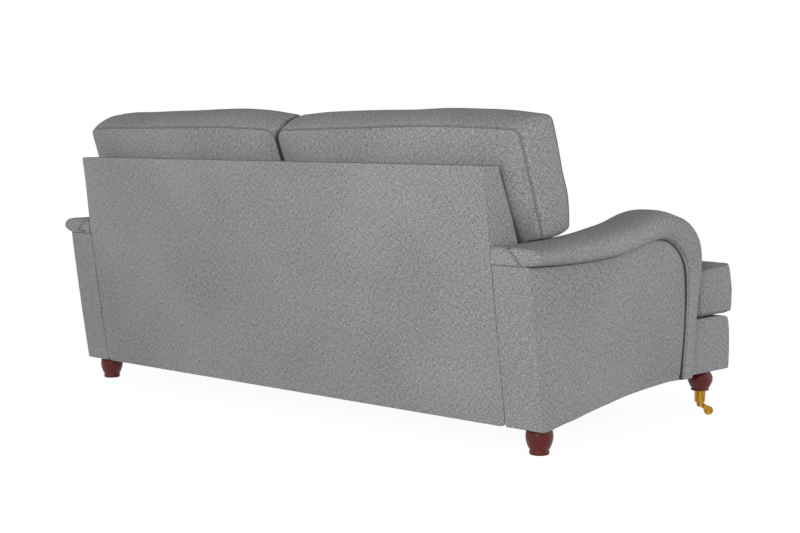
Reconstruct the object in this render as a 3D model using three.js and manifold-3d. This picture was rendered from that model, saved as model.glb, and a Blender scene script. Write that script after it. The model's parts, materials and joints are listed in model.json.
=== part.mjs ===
import * as THREE from 'three';
import { mergeVertices } from 'three/addons/utils/BufferGeometryUtils.js';
import Module from 'manifold-3d';

// An English roll arm sofa with two loose seat cushions, two loose back cushions,
// turned rear legs and turned front legs on brass cup castors.
// Millimetres, +Z up. The sitter faces -Y, so the sitter's right arm is at -X.
// The origin is on the floor, under the middle of the sofa.

const wasm = await Module();
wasm.setup();

// Overall sizes
const sofaDepth = 1038;
const panelHalfWidth = 970;
const armRearWidth = 120;
const armPadDepth = 35;
const armHeight = 618;
const armSeamHeight = 497;
const rollOverhang = 30;
const bandProud = 6;
const bandTurnDrop = 74;
const backHeight = 747;
const backTopThickness = 67;
const backCornerRadius = 22;
const rearHemHeight = 73;
const frontHemHeight = 126;
const deckHeight = 290;
const earDepth = 191;
const rearRakeDegrees = 8.2;
const insideRakeDegrees = 20.5;
const armFrontLeanDegrees = 5.35;

// Cloth, clearances and how far a cut runs past its piece
const fabric = 3;
const gap = 0.3;
const overrun = 20;

// Timber frame
const railThickness = 28;
const railTop = 262;
const sideRailThickness = 45;
const sideRailSetback = 34;
const rearRailBottom = 84;
const frontRailBottom = 133;
const rearFootLength = 50;
const stretcherWidth = 44;
const stretcherBottom = 165;
const stretcherTop = 225;
const backRailDepth = 46;
const backPostWidth = 29;
const topRailHeight = 44;
const lowerRailBottom = 300;
const lowerRailHeight = 60;
const centrePostWidth = 60;
const armRailWidth = 104;
const armRailThickness = 26;
const armFrontBoard = 28;
const armPostDepth = 60;

// Springs, webbing and dust cloth
const wireRadius = 2;
const springCount = 7;
const springEdge = 201;
const springLoopWidth = 52;
const springBends = 10;
const wireSides = 4;
const tieWireShares = [0.36, 0.64];
const webbingThickness = 2;
const webbingWidth = 50;
const webbingUprights = 8;
const webbingCrossings = 3;
const webbingLap = 12;
const dustClothThickness = 1.5;
const dustClothMargin = 5;

// Front border
const borderSideSetback = 20;
const borderSetback = 10;
const borderHem = 130;
const borderRadius = 14;

// Seat cushions
const seatSeamHeight = 443;
const seatLowerSeamHeight = 301;
const seatCrown = 27;
const seatSideSetback = 5;
const seatCushionRadius = 34;
const seatBulge = 10;
const seatDraw = 6;
const seatRearClearance = 6.2;
const seatReach = 240;
const seatLowerReach = 24;

// Back cushions, measured square to the rake of the inside back
const backCushionSeamHeight = 838;
const backCushionEarDrop = 48;
const backCushionHemRise = 8;
const backCushionSideSetback = 68;
const backCushionRadius = 46;
const backCushionSeamDepth = 50;
const backCushionBoxing = 108;
const backCushionCrown = 44;
const backCushionBulge = 11;
const backCushionFlare = 10;
const backCushionArch = 9;
const backCushionReach = 210;

// Cushion zips
const zipLength = 480;
const zipHeight = 5.4;
const zipThickness = 2.4;

// Legs and castors
const legSideSetback = 52;
const rearLegSetback = 155;
const frontLegSetback = 122;
const legRadius = 36;
const cupTop = 74;
const cupBottom = 40;
const cupRadius = 16.5;
const cupTaper = 1.2;
const cupWall = 3;
const tenonBottom = 51;
const boltRadius = 4;
const boltLength = 62;
const boltInLegShare = 0.45;
const pintleRadius = 4;
const pintleHeadRadius = 7;
const pintleHeadHeight = 3;
const flangeRadius = 10;
const flangeHeight = 4;
const wheelRadius = 13.6;
const wheelWidth = 11;
const castorTrail = 26;
const castorTurnDegrees = -43;
const hornCheek = 3;
const hornBridgeHeight = 6;
const cheekClearance = 1;
const axleRadius = 2.4;
const axleHeadRadius = 4.2;
const axleHeadLength = 1.8;

// Roundness of turned and rounded pieces
const turnedSides = 16;
const boltSides = 8;
const cornerSteps = 2;
const cushionEdgeStep = 125;

// The arm along its length. Each row: share of the arm's depth from the rear, then the shares of
// the heights of the hem, the roll's lower seam, the timber and the roll's top, then the share of
// the overhang that the roll has there.
const armStationShares = [
  [0, 0, 0, 0, 0.32, 0.6],
  [0.03, 0.02, -0.01, -0.01, 0.37, 0.9],
  [0.11, 0.12, -0.02, -0.02, 0.42, 1],
  [0.243, 0.4, -0.02, -0.02, 0.55, 1],
  [0.38, 0.61, 0.01, 0.01, 0.64, 1],
  [0.49, 0.75, 0.07, 0.07, 0.745, 1],
  [0.61, 0.86, 0.215, 0.215, 0.876, 1],
  [0.7, 0.94, 0.315, 0.3, 0.985, 1],
  [0.76, 0.98, 0.3, 0.3, 1, 1],
  [0.823, 1, 0.14, 0.3, 0.95, 1],
  [0.867, 1, -0.13, 0.3, 0.89, 1],
  [0.888, 0.98, -0.45, 0.3, 0.86, 1],
  [0.933, 0.95, -0.6, 0.3, 0.8, 0.95],
  [0.977, 0.92, -0.7, 0.3, 0.68, 0.75],
  [1, 0.9, -0.75, 0.3, 0.5, 0.45],
];
const bandTurnShare = 0.888;
const bandSeamShare = 0.902;
const rearStripShare = 0.05;

// Section of the roll: share of the width outwards from the inside arm, share of the roll's height
const rollSectionShares = [
  [0.93, 0.05], [0.985, 0.2], [1, 0.42], [0.975, 0.66], [0.9, 0.86], [0.76, 0.97],
  [0.56, 1], [0.34, 0.97], [0.16, 0.85], [0.05, 0.62], [0, 0.3],
];

// Turned outlines from the foot up: share of the radius, share of the height
const rearLegShares = [
  [0.66, 0], [0.73, 0.03], [0.73, 0.11], [0.69, 0.14], [0.82, 0.24], [0.92, 0.36],
  [1, 0.54], [0.98, 0.7], [0.86, 0.84], [0.78, 0.87], [0.78, 1],
];
const frontLegShares = [
  [0.72, 0], [0.74, 0.07], [0.7, 0.11], [0.83, 0.26], [0.95, 0.42],
  [1, 0.6], [0.9, 0.82], [0.78, 0.88], [0.78, 1],
];
const legTopShare = 0.78;

// Castor outlines: the wheel's rim in shares of its radius and width, the horn's cheek in shares
// of the trail and of the height above the axle
const wheelShares = [[0.62, -0.5], [0.9, -0.5], [1, -0.2], [1, 0.2], [0.9, 0.5], [0.62, 0.5]];
const cheekShares = [
  [-0.31, 1], [0.46, 1], [1.15, 0.42], [1.24, 0.05], [1.1, -0.24], [0.85, -0.24],
  [0.66, 0], [0.1, 0.5], [-0.31, 0.62],
];
const bridgeRearShare = -0.31;
const bridgeFrontShare = 0.46;

// How far the rings of a cushion's faces lie from its seam towards its middle, and the rings
// of the strip between the faces, on the outside of the cover and on the inside
const faceRingShares = [0.09, 0.3, 0.62];
const flatRingShares = [0.07];
const outerBoxingShares = [0.25, 0.5, 0.75];
const innerBoxingShares = [0.5];
const zipPlaceShare = 0.4;

const rad = THREE.MathUtils.degToRad;
const lerp = THREE.MathUtils.lerp;
const rearSlope = Math.tan(rad(rearRakeDegrees));
const insideSlope = Math.tan(rad(insideRakeDegrees));
const frontSlope = Math.tan(rad(armFrontLeanDegrees));
const insideSin = Math.sin(rad(insideRakeDegrees));
const insideCos = Math.cos(rad(insideRakeDegrees));

// Places that several pieces share
const cushionFront = -sofaDepth / 2;
const borderFront = cushionFront + borderSetback;
const armWidth = armRearWidth + armPadDepth;
const armInner = panelHalfWidth - armWidth;
const backHalfWidth = panelHalfWidth - armRearWidth;
const timberInner = backHalfWidth + gap;
const lining = fabric + gap;
const deckUnder = deckHeight - fabric;
const seatTop = seatSeamHeight + seatCrown;
const sideRailOuter = panelHalfWidth - sideRailSetback;
const sideRailInner = sideRailOuter - sideRailThickness;
const borderHalfWidth = panelHalfWidth - borderSideSetback;
const seatHalfWidth = borderHalfWidth - seatSideSetback;
const backCushionHalfWidth = panelHalfWidth - backCushionSideSetback;
const backCushionEarHeight = armHeight - backCushionEarDrop;
const backCushionHemHeight = seatTop + backCushionHemRise;
const legX = panelHalfWidth - legSideSetback;
const rearLegY = sofaDepth / 2 - rearLegSetback;
const frontLegY = frontLegSetback - sofaDepth / 2;
const frontRailFront = borderFront + lining;
const frontRailRear = frontRailFront + railThickness;
const rearY = (z) => sofaDepth / 2 - (backHeight - z) * rearSlope;
const insideY = (z) => sofaDepth / 2 - backTopThickness - (backHeight - z) * insideSlope;
const seatRear = insideY(seatLowerSeamHeight) - seatRearClearance;
const armFrontY = (z) => cushionFront + earDepth + (armHeight - z) * frontSlope;
const hemAt = (share) => lerp(rearHemHeight, frontHemHeight, share);
const armAt = (share) => lerp(armSeamHeight, armHeight, share);
const alongArm = (share, z, inset) => lerp(rearY(z) - inset, armFrontY(z) + inset, share);

// Materials
const makeMaterial = (color, roughness, metalness) =>
  new THREE.MeshStandardMaterial({ color, roughness, metalness });
const coverFabric = () => makeMaterial(0x86878a, 0.95, 0);
const mahogany = () => makeMaterial(0x5a2420, 0.35, 0);
const brass = () => makeMaterial(0xc79a3a, 0.3, 1);
const beech = () => makeMaterial(0xc9ad84, 0.7, 0);
const steel = () => makeMaterial(0x7c7f83, 0.45, 1);
const jute = () => makeMaterial(0x6e5a40, 0.95, 0);
const foam = () => makeMaterial(0xe9dfc2, 0.9, 0);
const platformCloth = () => makeMaterial(0x6f7073, 0.95, 0);
const dustCloth = () => makeMaterial(0x232325, 0.95, 0);
const zipTape = () => makeMaterial(0x55565a, 0.8, 0);

const sofa = new THREE.Group();

// From positions and triangles to a solid that faces outwards, and back to a geometry
const closedSolid = (positions, indices) => {
  const corner = (i) => new THREE.Vector3().fromArray(positions, indices[i] * 3);
  let volume = 0;
  for (let i = 0; i < indices.length; i += 3) {
    volume += corner(i).dot(corner(i + 1).cross(corner(i + 2)));
  }
  const triVerts = Uint32Array.from(indices);
  if (volume < 0) triVerts.reverse();
  return new wasm.Manifold(new wasm.Mesh({
    numProp: 3,
    vertProperties: Float32Array.from(positions),
    triVerts,
  }));
};

const solidOf = (geometry) => {
  const bare = geometry.clone();
  bare.deleteAttribute('normal');
  bare.deleteAttribute('uv');
  const merged = mergeVertices(bare);
  return closedSolid(merged.attributes.position.array, merged.index.array);
};

const geometryOf = (solid) => {
  const { vertProperties, triVerts } = solid.getMesh();
  const geometry = new THREE.BufferGeometry();
  geometry.setAttribute('position', new THREE.BufferAttribute(vertProperties, 3));
  geometry.setIndex(new THREE.BufferAttribute(triVerts, 1));
  geometry.computeVertexNormals();
  return geometry;
};

const mirrored = (geometry) => {
  const copy = geometry.clone().scale(-1, 1, 1);
  copy.setIndex(Array.from(copy.index.array).reverse());
  copy.computeVertexNormals();
  return copy;
};

// Named pieces: one alone, or a left one and its mirror image
const addPart = (name, solid, material, parent = sofa) => {
  const mesh = new THREE.Mesh(geometryOf(solid), material);
  mesh.name = name;
  parent.add(mesh);
  return mesh;
};

const addPair = (name, solid, finish) => {
  const left = addPart(`${name}_left`, solid, finish());
  const right = new THREE.Mesh(mirrored(left.geometry), finish());
  right.name = `${name}_right`;
  sofa.add(right);
};

// Basic shapes
const boxSolid = (x0, x1, y0, y1, z0, z1) => {
  const geometry = new THREE.BoxGeometry(x1 - x0, y1 - y0, z1 - z0);
  return solidOf(geometry.translate((x0 + x1) / 2, (y0 + y1) / 2, (z0 + z1) / 2));
};

const extruded = (outline, depth) => {
  const shape = new THREE.Shape(outline.map(([a, b]) => new THREE.Vector2(a, b)));
  return new THREE.ExtrudeGeometry(shape, { depth, bevelEnabled: false });
};

const axisTurn = new THREE.Matrix4().makeBasis(
  new THREE.Vector3(0, 1, 0), new THREE.Vector3(0, 0, 1), new THREE.Vector3(1, 0, 0));

// Outlines in Y and Z run along X, those in X and Z along Y, and those in X and Y along Z
const alongX = (outline, x0, x1) =>
  solidOf(extruded(outline, x1 - x0).applyMatrix4(axisTurn).translate(x0, 0, 0));
const alongY = (outline, y0, y1) =>
  solidOf(extruded(outline, y1 - y0).rotateX(Math.PI / 2).translate(0, y1, 0));
const alongZ = (outline, z0, z1) => solidOf(extruded(outline, z1 - z0).translate(0, 0, z0));

// A piece turned on the Z axis, from radius and height pairs
const turnedGeometry = (profile, sides) => {
  const points = profile.map(([r, z]) => new THREE.Vector2(r, z));
  return new THREE.LatheGeometry(points, sides).rotateX(Math.PI / 2);
};
const plugAt = (x, y, radius, z0, z1, sides) => {
  const profile = [[0, z0], [radius, z0], [radius, z1], [0, z1]];
  return solidOf(turnedGeometry(profile, sides).translate(x, y, 0));
};

// Every corner of an outline swapped for a short curve, but for those named to stay sharp
const roundCorners = (corners, radius, sharp = []) => corners.flatMap((corner, i) => {
  if (sharp.includes(i)) return [corner];
  const here = new THREE.Vector2(...corner);
  const before = new THREE.Vector2(...corners.at(i - 1)).sub(here);
  const after = new THREE.Vector2(...corners[(i + 1) % corners.length]).sub(here);
  const curve = new THREE.QuadraticBezierCurve(
    before.setLength(Math.min(radius, before.length() / 2)).add(here),
    here,
    after.setLength(Math.min(radius, after.length() / 2)).add(here));
  return curve.getPoints(cornerSteps).map((p) => [p.x, p.y]);
});

const divideEdges = (outline, step) => outline.flatMap(([x, y], i) => {
  const [nextX, nextY] = outline[(i + 1) % outline.length];
  const count = Math.max(1, Math.round(Math.hypot(nextX - x, nextY - y) / step));
  return Array.from({ length: count }, (_, k) =>
    [lerp(x, nextX, k / count), lerp(y, nextY, k / count)]);
});

// A line moved sideways, to the left of its own direction
const offsetLine = (line, distance, closed) => line.map((point, i) => {
  const before = closed || i > 0 ? line.at(i - 1) : null;
  const after = closed || i + 1 < line.length ? line[(i + 1) % line.length] : null;
  const here = new THREE.Vector2(...point);
  const into = before ? here.clone().sub(new THREE.Vector2(...before)).normalize() : null;
  const out = after ? new THREE.Vector2(...after).sub(here).normalize() : into;
  const along = (into ?? out).clone().add(out).normalize();
  const shift = distance / along.dot(out);
  return [here.x - along.y * shift, here.y + along.x * shift];
});

// Sections with the same number of points, in order along the piece, joined and capped
const lofted = (sections, flatten) => {
  const count = sections[0].length;
  const indices = [];
  for (let start = 0; start < (sections.length - 1) * count; start += count) {
    for (let i = 0; i < count; i += 1) {
      const a = start + i;
      const b = start + ((i + 1) % count);
      indices.push(a, b, b + count, a, b + count, a + count);
    }
  }
  const cap = (section, start, turned) => {
    const flat = section.map((point) => new THREE.Vector2(...flatten(point)));
    const turnsLeft = THREE.ShapeUtils.area(flat) > 0;
    for (const [a, b, c] of THREE.ShapeUtils.triangulateShape(flat, [])) {
      indices.push(start + a, ...(turnsLeft === turned ? [start + c, start + b]
        : [start + b, start + c]));
    }
  };
  cap(sections[0], 0, true);
  cap(sections.at(-1), (sections.length - 1) * count, false);
  return closedSolid(sections.flat(2), indices);
};

// The left arm's outer form, moved inwards by inset. An open one runs on below its lower edges.
const armEnvelope = (inset, open) => {
  const drop = open ? overrun : 0;
  const sections = armStationShares.map(([share, hem, seam, , top, overhang]) => {
    const side = panelHalfWidth + (share > bandTurnShare ? bandProud : 0);
    const width = armWidth + rollOverhang * overhang;
    const roll = rollSectionShares.map(([across, up]) =>
      [armInner + across * width, lerp(armAt(seam), armAt(top), up)]);
    const skin = offsetLine(
      [[side, hemAt(hem)], [side, armAt(seam)], ...roll, [armInner, deckUnder]], inset, false);
    skin[0][1] = hemAt(hem) - drop;
    skin.at(-1)[1] = deckUnder - drop;
    const step = (share < rearStripShare ? backHalfWidth + gap : sideRailOuter + fabric) - drop;
    return [...skin, [step, deckUnder - drop], [step, hemAt(hem) - drop]]
      .map(([x, z]) => [x, alongArm(share, z, inset), z]);
  });
  return lofted(sections, ([x, , z]) => [x, z]);
};

// The room that the back takes up between the arms, grown by a clearance
const backRoom = (clearance) => {
  const low = deckUnder - overrun;
  const high = backHeight + clearance;
  return alongX([
    [insideY(low) - clearance, low],
    [rearY(low) + overrun, low],
    [rearY(high) + overrun, high],
    [insideY(high) - clearance, high],
  ], 0, backHalfWidth + clearance);
};

// The room of the outside arm panel, below the roll and behind the front band
const panelRoom = (clearance) => {
  const low = rearHemHeight - overrun;
  const rows = armStationShares.filter(([share]) => share > 0 && share <= bandTurnShare);
  const seam = rows.map(([share, , seamShare]) => {
    const z = armAt(seamShare) + clearance;
    return [alongArm(share, z, 0), z];
  });
  const [turnY, turnZ] = seam.pop();
  return alongX([
    [rearY(low) + overrun, low],
    [rearY(low) + overrun + (armSeamHeight - low) * rearSlope, armSeamHeight + clearance],
    ...seam,
    [turnY - clearance, turnZ],
    [alongArm(bandSeamShare, turnZ - bandTurnDrop, 0) - clearance, turnZ - bandTurnDrop],
    [alongArm(bandSeamShare, low, 0) - clearance, low],
  ], timberInner, panelHalfWidth + rollOverhang + overrun);
};

// Line of the timber in the arm, from the rear to the front
const armTimberLine = (inset, lift) => armStationShares.map(([share, , , timber]) => {
  const z = armAt(timber) + lift;
  return [alongArm(share, z, inset), z];
});

// The side view of all that lies below the arm's timber line, past both ends of the arm
const timberBelow = (lift) => {
  const line = armTimberLine(lining, lift);
  const [[, rearTop], [, frontTop]] = [line[0], line.at(-1)];
  return [
    [rearY(0), 0],
    [rearY(rearTop) + overrun, rearTop],
    ...line,
    [armFrontY(frontTop) - overrun, frontTop],
    [armFrontY(frontTop) - overrun, 0],
  ];
};

// Line of the underside of the side rails, from the front to the rear
const railUnderside = (lift) => {
  const rise = frontRailBottom - frontHemHeight;
  const arch = armStationShares
    .filter(([share]) => share > rearStripShare && share < bandTurnShare)
    .map(([share, hem]) => [alongArm(share, hemAt(hem), 0), hemAt(hem) + rise])
    .filter(([y, z]) => z > rearRailBottom && y < rearLegY - rearFootLength)
    .reverse();
  return [
    [frontRailFront, frontRailBottom],
    [alongArm(bandTurnShare, frontHemHeight, 0), frontRailBottom],
    ...arch,
    [rearLegY - rearFootLength, rearRailBottom],
    [rearY(rearRailBottom) - lining, rearRailBottom],
  ].map(([y, z]) => [y, z + lift]);
};

// A board that follows the rake of the back
const rakedBoard = (x0, x1, z0, z1, offset, depth) => alongX([
  [rearY(z0) - offset - depth, z0],
  [rearY(z0) - offset, z0],
  [rearY(z1) - offset, z1],
  [rearY(z1) - offset - depth, z1],
], x0, x1);

// The face of the back, with its rounded top corners, as a block that runs front to rear
const backFace = (inset) => {
  const half = backHalfWidth - inset;
  const low = rearHemHeight - backCornerRadius - overrun;
  const corners = [[-half, low], [half, low], [half, backHeight - inset], [-half, backHeight - inset]];
  return alongY(roundCorners(corners, backCornerRadius), cushionFront, sofaDepth);
};

const boltTop = (railBottom) => railBottom + boltLength * (1 - boltInLegShare);

const makeSeatFrame = () => {
  const frontHalf = borderHalfWidth - lining - borderRadius;
  const frontRail = boxSolid(-frontHalf, frontHalf, frontRailFront, frontRailRear,
    frontRailBottom, railTop);
  const rearRail = rakedBoard(gap - sideRailInner, sideRailInner - gap, rearRailBottom, railTop,
    lining, railThickness);
  const sideRail = alongX([
    [frontRailRear + gap, frontRailBottom],
    ...railUnderside(0).slice(1),
    [rearY(railTop) - lining, railTop],
    [frontRailRear + gap, railTop],
  ], sideRailInner, sideRailOuter);
  const bolted = [[rearLegY, rearRailBottom], [frontLegY, frontRailBottom]].reduce(
    (rail, [y, z]) => rail.subtract(plugAt(legX, y, boltRadius + gap, z - overrun,
      boltTop(z) + gap, boltSides)), sideRail);
  const stretcherRear = (z) => rearY(z) - lining - railThickness - gap;
  const stretcher = alongX([
    [frontRailRear + gap, stretcherBottom],
    [stretcherRear(stretcherBottom), stretcherBottom],
    [stretcherRear(stretcherTop), stretcherTop],
    [frontRailRear + gap, stretcherTop],
  ], -stretcherWidth / 2, stretcherWidth / 2);
  addPart('front_seat_rail', frontRail, beech());
  addPart('rear_seat_rail', rearRail, beech());
  addPart('seat_stretcher', stretcher, beech());
  addPair('side_seat_rail', bolted, beech);
};

const makeBackFrame = () => {
  const outer = backHalfWidth - lining;
  const postInner = outer - backPostWidth;
  const topRailTop = backHeight - lining;
  const topRailBottom = topRailTop - topRailHeight;
  const lowerRailTop = lowerRailBottom + lowerRailHeight;
  const topRail = rakedBoard(-outer, outer, topRailBottom, topRailTop, lining, backRailDepth);
  addPart('back_top_rail', topRail.intersect(backFace(lining)), beech());
  addPart('back_lower_rail', rakedBoard(gap - postInner, postInner - gap, lowerRailBottom,
    lowerRailTop, lining, backRailDepth), beech());
  addPart('back_centre_post', rakedBoard(-centrePostWidth / 2, centrePostWidth / 2,
    lowerRailTop + gap, topRailBottom - gap, lining, backRailDepth), beech());
  addPair('back_post', rakedBoard(postInner, outer, railTop + gap, topRailBottom - gap,
    lining, backRailDepth), beech);
};

const makeArmFrame = () => {
  const railUpper = armTimberLine(lining, -gap);
  const railLower = armTimberLine(lining, -gap - armRailThickness).reverse();
  const railInner = timberInner + gap;
  const topRail = alongX([...railUpper, ...railLower], railInner, railInner + armRailWidth);
  const postOuter = panelHalfWidth - lining;
  const boardTop = armAt(armStationShares.at(-1)[3]) - armRailThickness - gap * 2;
  const boardBottom = frontRailBottom;
  const frontBoard = alongX([
    [armFrontY(boardBottom) + lining, boardBottom],
    [armFrontY(boardBottom) + lining + armFrontBoard, boardBottom],
    [armFrontY(boardTop) + lining + armFrontBoard, boardTop],
    [armFrontY(boardTop) + lining, boardTop],
  ], railInner, postOuter);
  const notch = boxSolid(0, sideRailOuter + gap, cushionFront, 0, 0, railTop + gap);
  const rearPost = rakedBoard(sideRailOuter + gap, postOuter, rearRailBottom, armSeamHeight,
    lining, armPostDepth);
  const underRail = alongX(timberBelow(-armRailThickness - gap * 2), railInner - overrun,
    postOuter + overrun);
  addPair('arm_top_rail', topRail, beech);
  addPair('arm_front_board', frontBoard.subtract(notch), beech);
  addPair('arm_rear_post', rearPost.intersect(underRail), beech);
};

// Zigzag springs from rail to rail, joined by border wires on the rails and by two tie wires
const makeSeatSprings = () => {
  const level = railTop + gap + wireRadius;
  const front = frontRailFront + railThickness / 2;
  const rear = rearY(level) - lining - railThickness / 2;
  const section = new THREE.Shape(Array.from({ length: wireSides }, (_, i) => {
    const turn = (2 * Math.PI * i) / wireSides;
    return new THREE.Vector2(wireRadius * Math.cos(turn), wireRadius * Math.sin(turn));
  }));
  const wireAlong = (points, steps) => solidOf(new THREE.ExtrudeGeometry(section, {
    steps,
    extrudePath: new THREE.CatmullRomCurve3(points),
  }));
  const middle = (springCount - 1) / 2;
  const springPitch = (sideRailInner - springEdge) / middle;
  const springs = Array.from({ length: springCount }, (_, i) => {
    const x = (i - middle) * springPitch;
    const bends = Array.from({ length: springBends }, (__, k) => {
      const side = k % 2 === 0 ? -springLoopWidth / 2 : springLoopWidth / 2;
      return new THREE.Vector3(x + side, lerp(front, rear, k / (springBends - 1)), level);
    });
    return wireAlong(bends, (springBends - 1) * 2);
  });
  const reach = middle * springPitch + springLoopWidth;
  const wires = [0, ...tieWireShares, 1].map((share) => {
    const y = lerp(front, rear, share);
    return wireAlong([new THREE.Vector3(-reach, y, level), new THREE.Vector3(reach, y, level)], 1);
  });
  addPart('seat_springs', wasm.Manifold.union([...springs, ...wires]), steel());
};

const makeWebbing = () => {
  const offset = lining + backRailDepth + gap;
  const half = backHalfWidth - lining;
  const low = lowerRailBottom + webbingLap;
  const high = backHeight - lining - webbingLap;
  const strap = (x0, x1, z0, z1) => rakedBoard(x0, x1, z0, z1, offset, webbingThickness);
  const uprights = Array.from({ length: webbingUprights }, (_, i) => {
    const x = lerp(-half, half, (i + 1) / (webbingUprights + 1));
    return strap(x - webbingWidth / 2, x + webbingWidth / 2, low, high);
  });
  const crossings = Array.from({ length: webbingCrossings }, (_, i) => {
    const z = lerp(low, high, (i + 1) / (webbingCrossings + 1));
    return strap(webbingLap - half, half - webbingLap, z - webbingWidth / 2, z + webbingWidth / 2);
  });
  addPart('back_webbing', wasm.Manifold.union([...uprights, ...crossings]), jute());
};

const makePads = () => {
  const padBottom = railTop + wireRadius * 2 + gap * 2;
  const padTop = deckUnder - gap;
  const [wide, narrow] = [borderHalfWidth - lining, armInner - gap];
  const armLine = armFrontY(padTop) - gap;
  const padFront = frontRailFront + borderRadius;
  const padRear = insideY(padBottom) - gap;
  const deckPad = alongZ(roundCorners([
    [-wide, padFront], [wide, padFront], [wide, armLine], [narrow, armLine],
    [narrow, padRear], [-narrow, padRear], [-narrow, armLine], [-wide, armLine],
  ], borderRadius), padBottom, padTop);
  addPart('deck_pad', deckPad, foam());

  const webbingFront = lining + backRailDepth + webbingThickness + gap * 2;
  const high = backHeight - lining;
  const cover = fabric / insideCos + gap;
  const backPad = alongX([
    [insideY(lowerRailBottom) + cover, lowerRailBottom],
    [rearY(lowerRailBottom) - webbingFront, lowerRailBottom],
    [rearY(high) - webbingFront, high],
    [insideY(high) + cover, high],
  ], lining - backHalfWidth, backHalfWidth - lining);
  addPart('back_pad', backPad.intersect(backFace(lining)), foam());

  const timberRoom = alongX(timberBelow(0), timberInner, panelHalfWidth + rollOverhang + overrun);
  const armPad = armEnvelope(lining, false).subtract(timberRoom).subtract(backRoom(gap));
  addPair('arm_pad', armPad, foam);
};

const makeArmCovers = () => {
  const skin = armEnvelope(0, false).subtract(armEnvelope(fabric, true)).subtract(backRoom(gap));
  addPair('arm_cover', skin.subtract(panelRoom(gap)), coverFabric);
  addPair('outside_arm_cover', skin.intersect(panelRoom(0)), coverFabric);
};

const makeBackCovers = () => {
  const outside = rakedBoard(-backHalfWidth, backHalfWidth, rearHemHeight, backHeight, 0, fabric);
  addPart('outside_back_cover', outside.intersect(backFace(0)), coverFabric());

  const low = deckUnder - overrun;
  const high = backHeight - fabric;
  const wall = fabric / insideCos;
  const outer = alongX([
    [insideY(deckUnder), deckUnder],
    [rearY(deckUnder) - lining, deckUnder],
    [rearY(backHeight) - lining, backHeight],
    [insideY(backHeight), backHeight],
  ], -backHalfWidth, backHalfWidth).intersect(backFace(0));
  const inner = alongX([
    [insideY(low) + wall, low],
    [rearY(low) + overrun, low],
    [rearY(high) + overrun, high],
    [insideY(high) + wall, high],
  ], -backHalfWidth, backHalfWidth).intersect(backFace(fabric));
  addPart('inside_back_cover', outer.subtract(inner), coverFabric());
};

const makeBorderAndDeck = () => {
  const block = (inset, drop) => {
    const [low, high] = [borderHem - drop, deckHeight - inset];
    const front = borderFront + inset;
    const half = borderHalfWidth - inset;
    const side = alongX([
      [front, low],
      [armFrontY(low) - gap + drop, low],
      [armFrontY(high) - gap + drop, high],
      [front + borderRadius, high],
      [front + borderRadius / 4, high - borderRadius / 4],
      [front, high - borderRadius],
    ], -half, half);
    const plan = alongZ(roundCorners([
      [-half, front], [half, front], [half, sofaDepth], [-half, sofaDepth],
    ], borderRadius), low, high);
    return side.intersect(plan);
  };
  addPart('front_border_cover', block(0, 0).subtract(block(fabric, overrun)), coverFabric());
  addPart('deck_cloth', boxSolid(gap - armInner, armInner - gap, armFrontY(deckUnder),
    insideY(deckUnder) - gap, deckUnder, deckHeight), platformCloth());
};

const makeDustCover = () => {
  const half = sideRailOuter - dustClothMargin;
  const sheet = alongX([
    ...railUnderside(-gap),
    ...railUnderside(-gap - dustClothThickness).reverse(),
  ], -half, half);
  const holes = [-legX, legX].flatMap((x) => [rearLegY, frontLegY].map((y) =>
    plugAt(x, y, legRadius * legTopShare + gap, 0, railTop, turnedSides)));
  addPart('dust_cover', sheet.subtract(wasm.Manifold.union(holes)), dustCloth());
};

// A cushion from the outline of its seam: two crowned faces and a bulging strip between them.
// The outline lies in the first two axes and the thickness in the third, and place maps a point.
const cushionSolid = (form, inset) => {
  const boxing = inset > 0 ? innerBoxingShares : outerBoxingShares;
  const outlineAt = (outwards) => offsetLine(form.outline, inset - outwards, true);
  const [lower, upper] = [form.lower + inset, form.upper - inset];
  const edgeDistance = (point, edge) => Math.min(...edge.map((start, i) => {
    const line = new THREE.Line3(
      new THREE.Vector3(...start, 0),
      new THREE.Vector3(...edge[(i + 1) % edge.length], 0));
    const at = new THREE.Vector3(...point, 0);
    return line.closestPointToPoint(at, true, new THREE.Vector3()).distanceTo(at);
  }));
  const rise = (distance, reach) => 1 - (1 - Math.min(distance / reach, 1)) ** 2;
  const face = (shares, edge, level, crown, reach) => shares.map((share) => edge.map(([a, b]) => {
    const point = [lerp(a, form.middle[0], share), lerp(b, form.middle[1], share)];
    return [...point, level + crown * rise(edgeDistance(point, edge), reach)];
  }));
  const lowerEdge = outlineAt(0);
  const upperEdge = outlineAt(-form.draw);
  const lowerRings = face(form.lowerRings, lowerEdge, lower, -form.lowerCrown, form.lowerReach);
  const upperRings = face(faceRingShares, upperEdge, upper, form.crown, form.reach);
  const strip = boxing.map((share) =>
    outlineAt(form.bulge * Math.sin(Math.PI * share) - form.draw * share)
      .map(([a, b]) => [a, b, lerp(lower, upper, share)]));
  const layers = [
    ...lowerRings.reverse(),
    lowerEdge.map(([a, b]) => [a, b, lower]),
    ...strip,
    upperEdge.map(([a, b]) => [a, b, upper]),
    ...upperRings,
  ];
  const count = form.outline.length;
  const points = [
    ...layers.flat(),
    [...form.middle, lower - form.lowerCrown],
    [...form.middle, upper + form.crown],
  ];
  const [lowerPole, upperPole] = [points.length - 2, points.length - 1];
  const last = (layers.length - 1) * count;
  const indices = [];
  for (let i = 0; i < count; i += 1) {
    const next = (i + 1) % count;
    indices.push(lowerPole, next, i, upperPole, last + i, last + next);
    for (let start = 0; start < last; start += count) {
      const [a, b] = [start + i, start + next];
      indices.push(a, b, b + count, a, b + count, a + count);
    }
  }
  return closedSolid(points.flatMap(form.place), indices);
};

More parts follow.
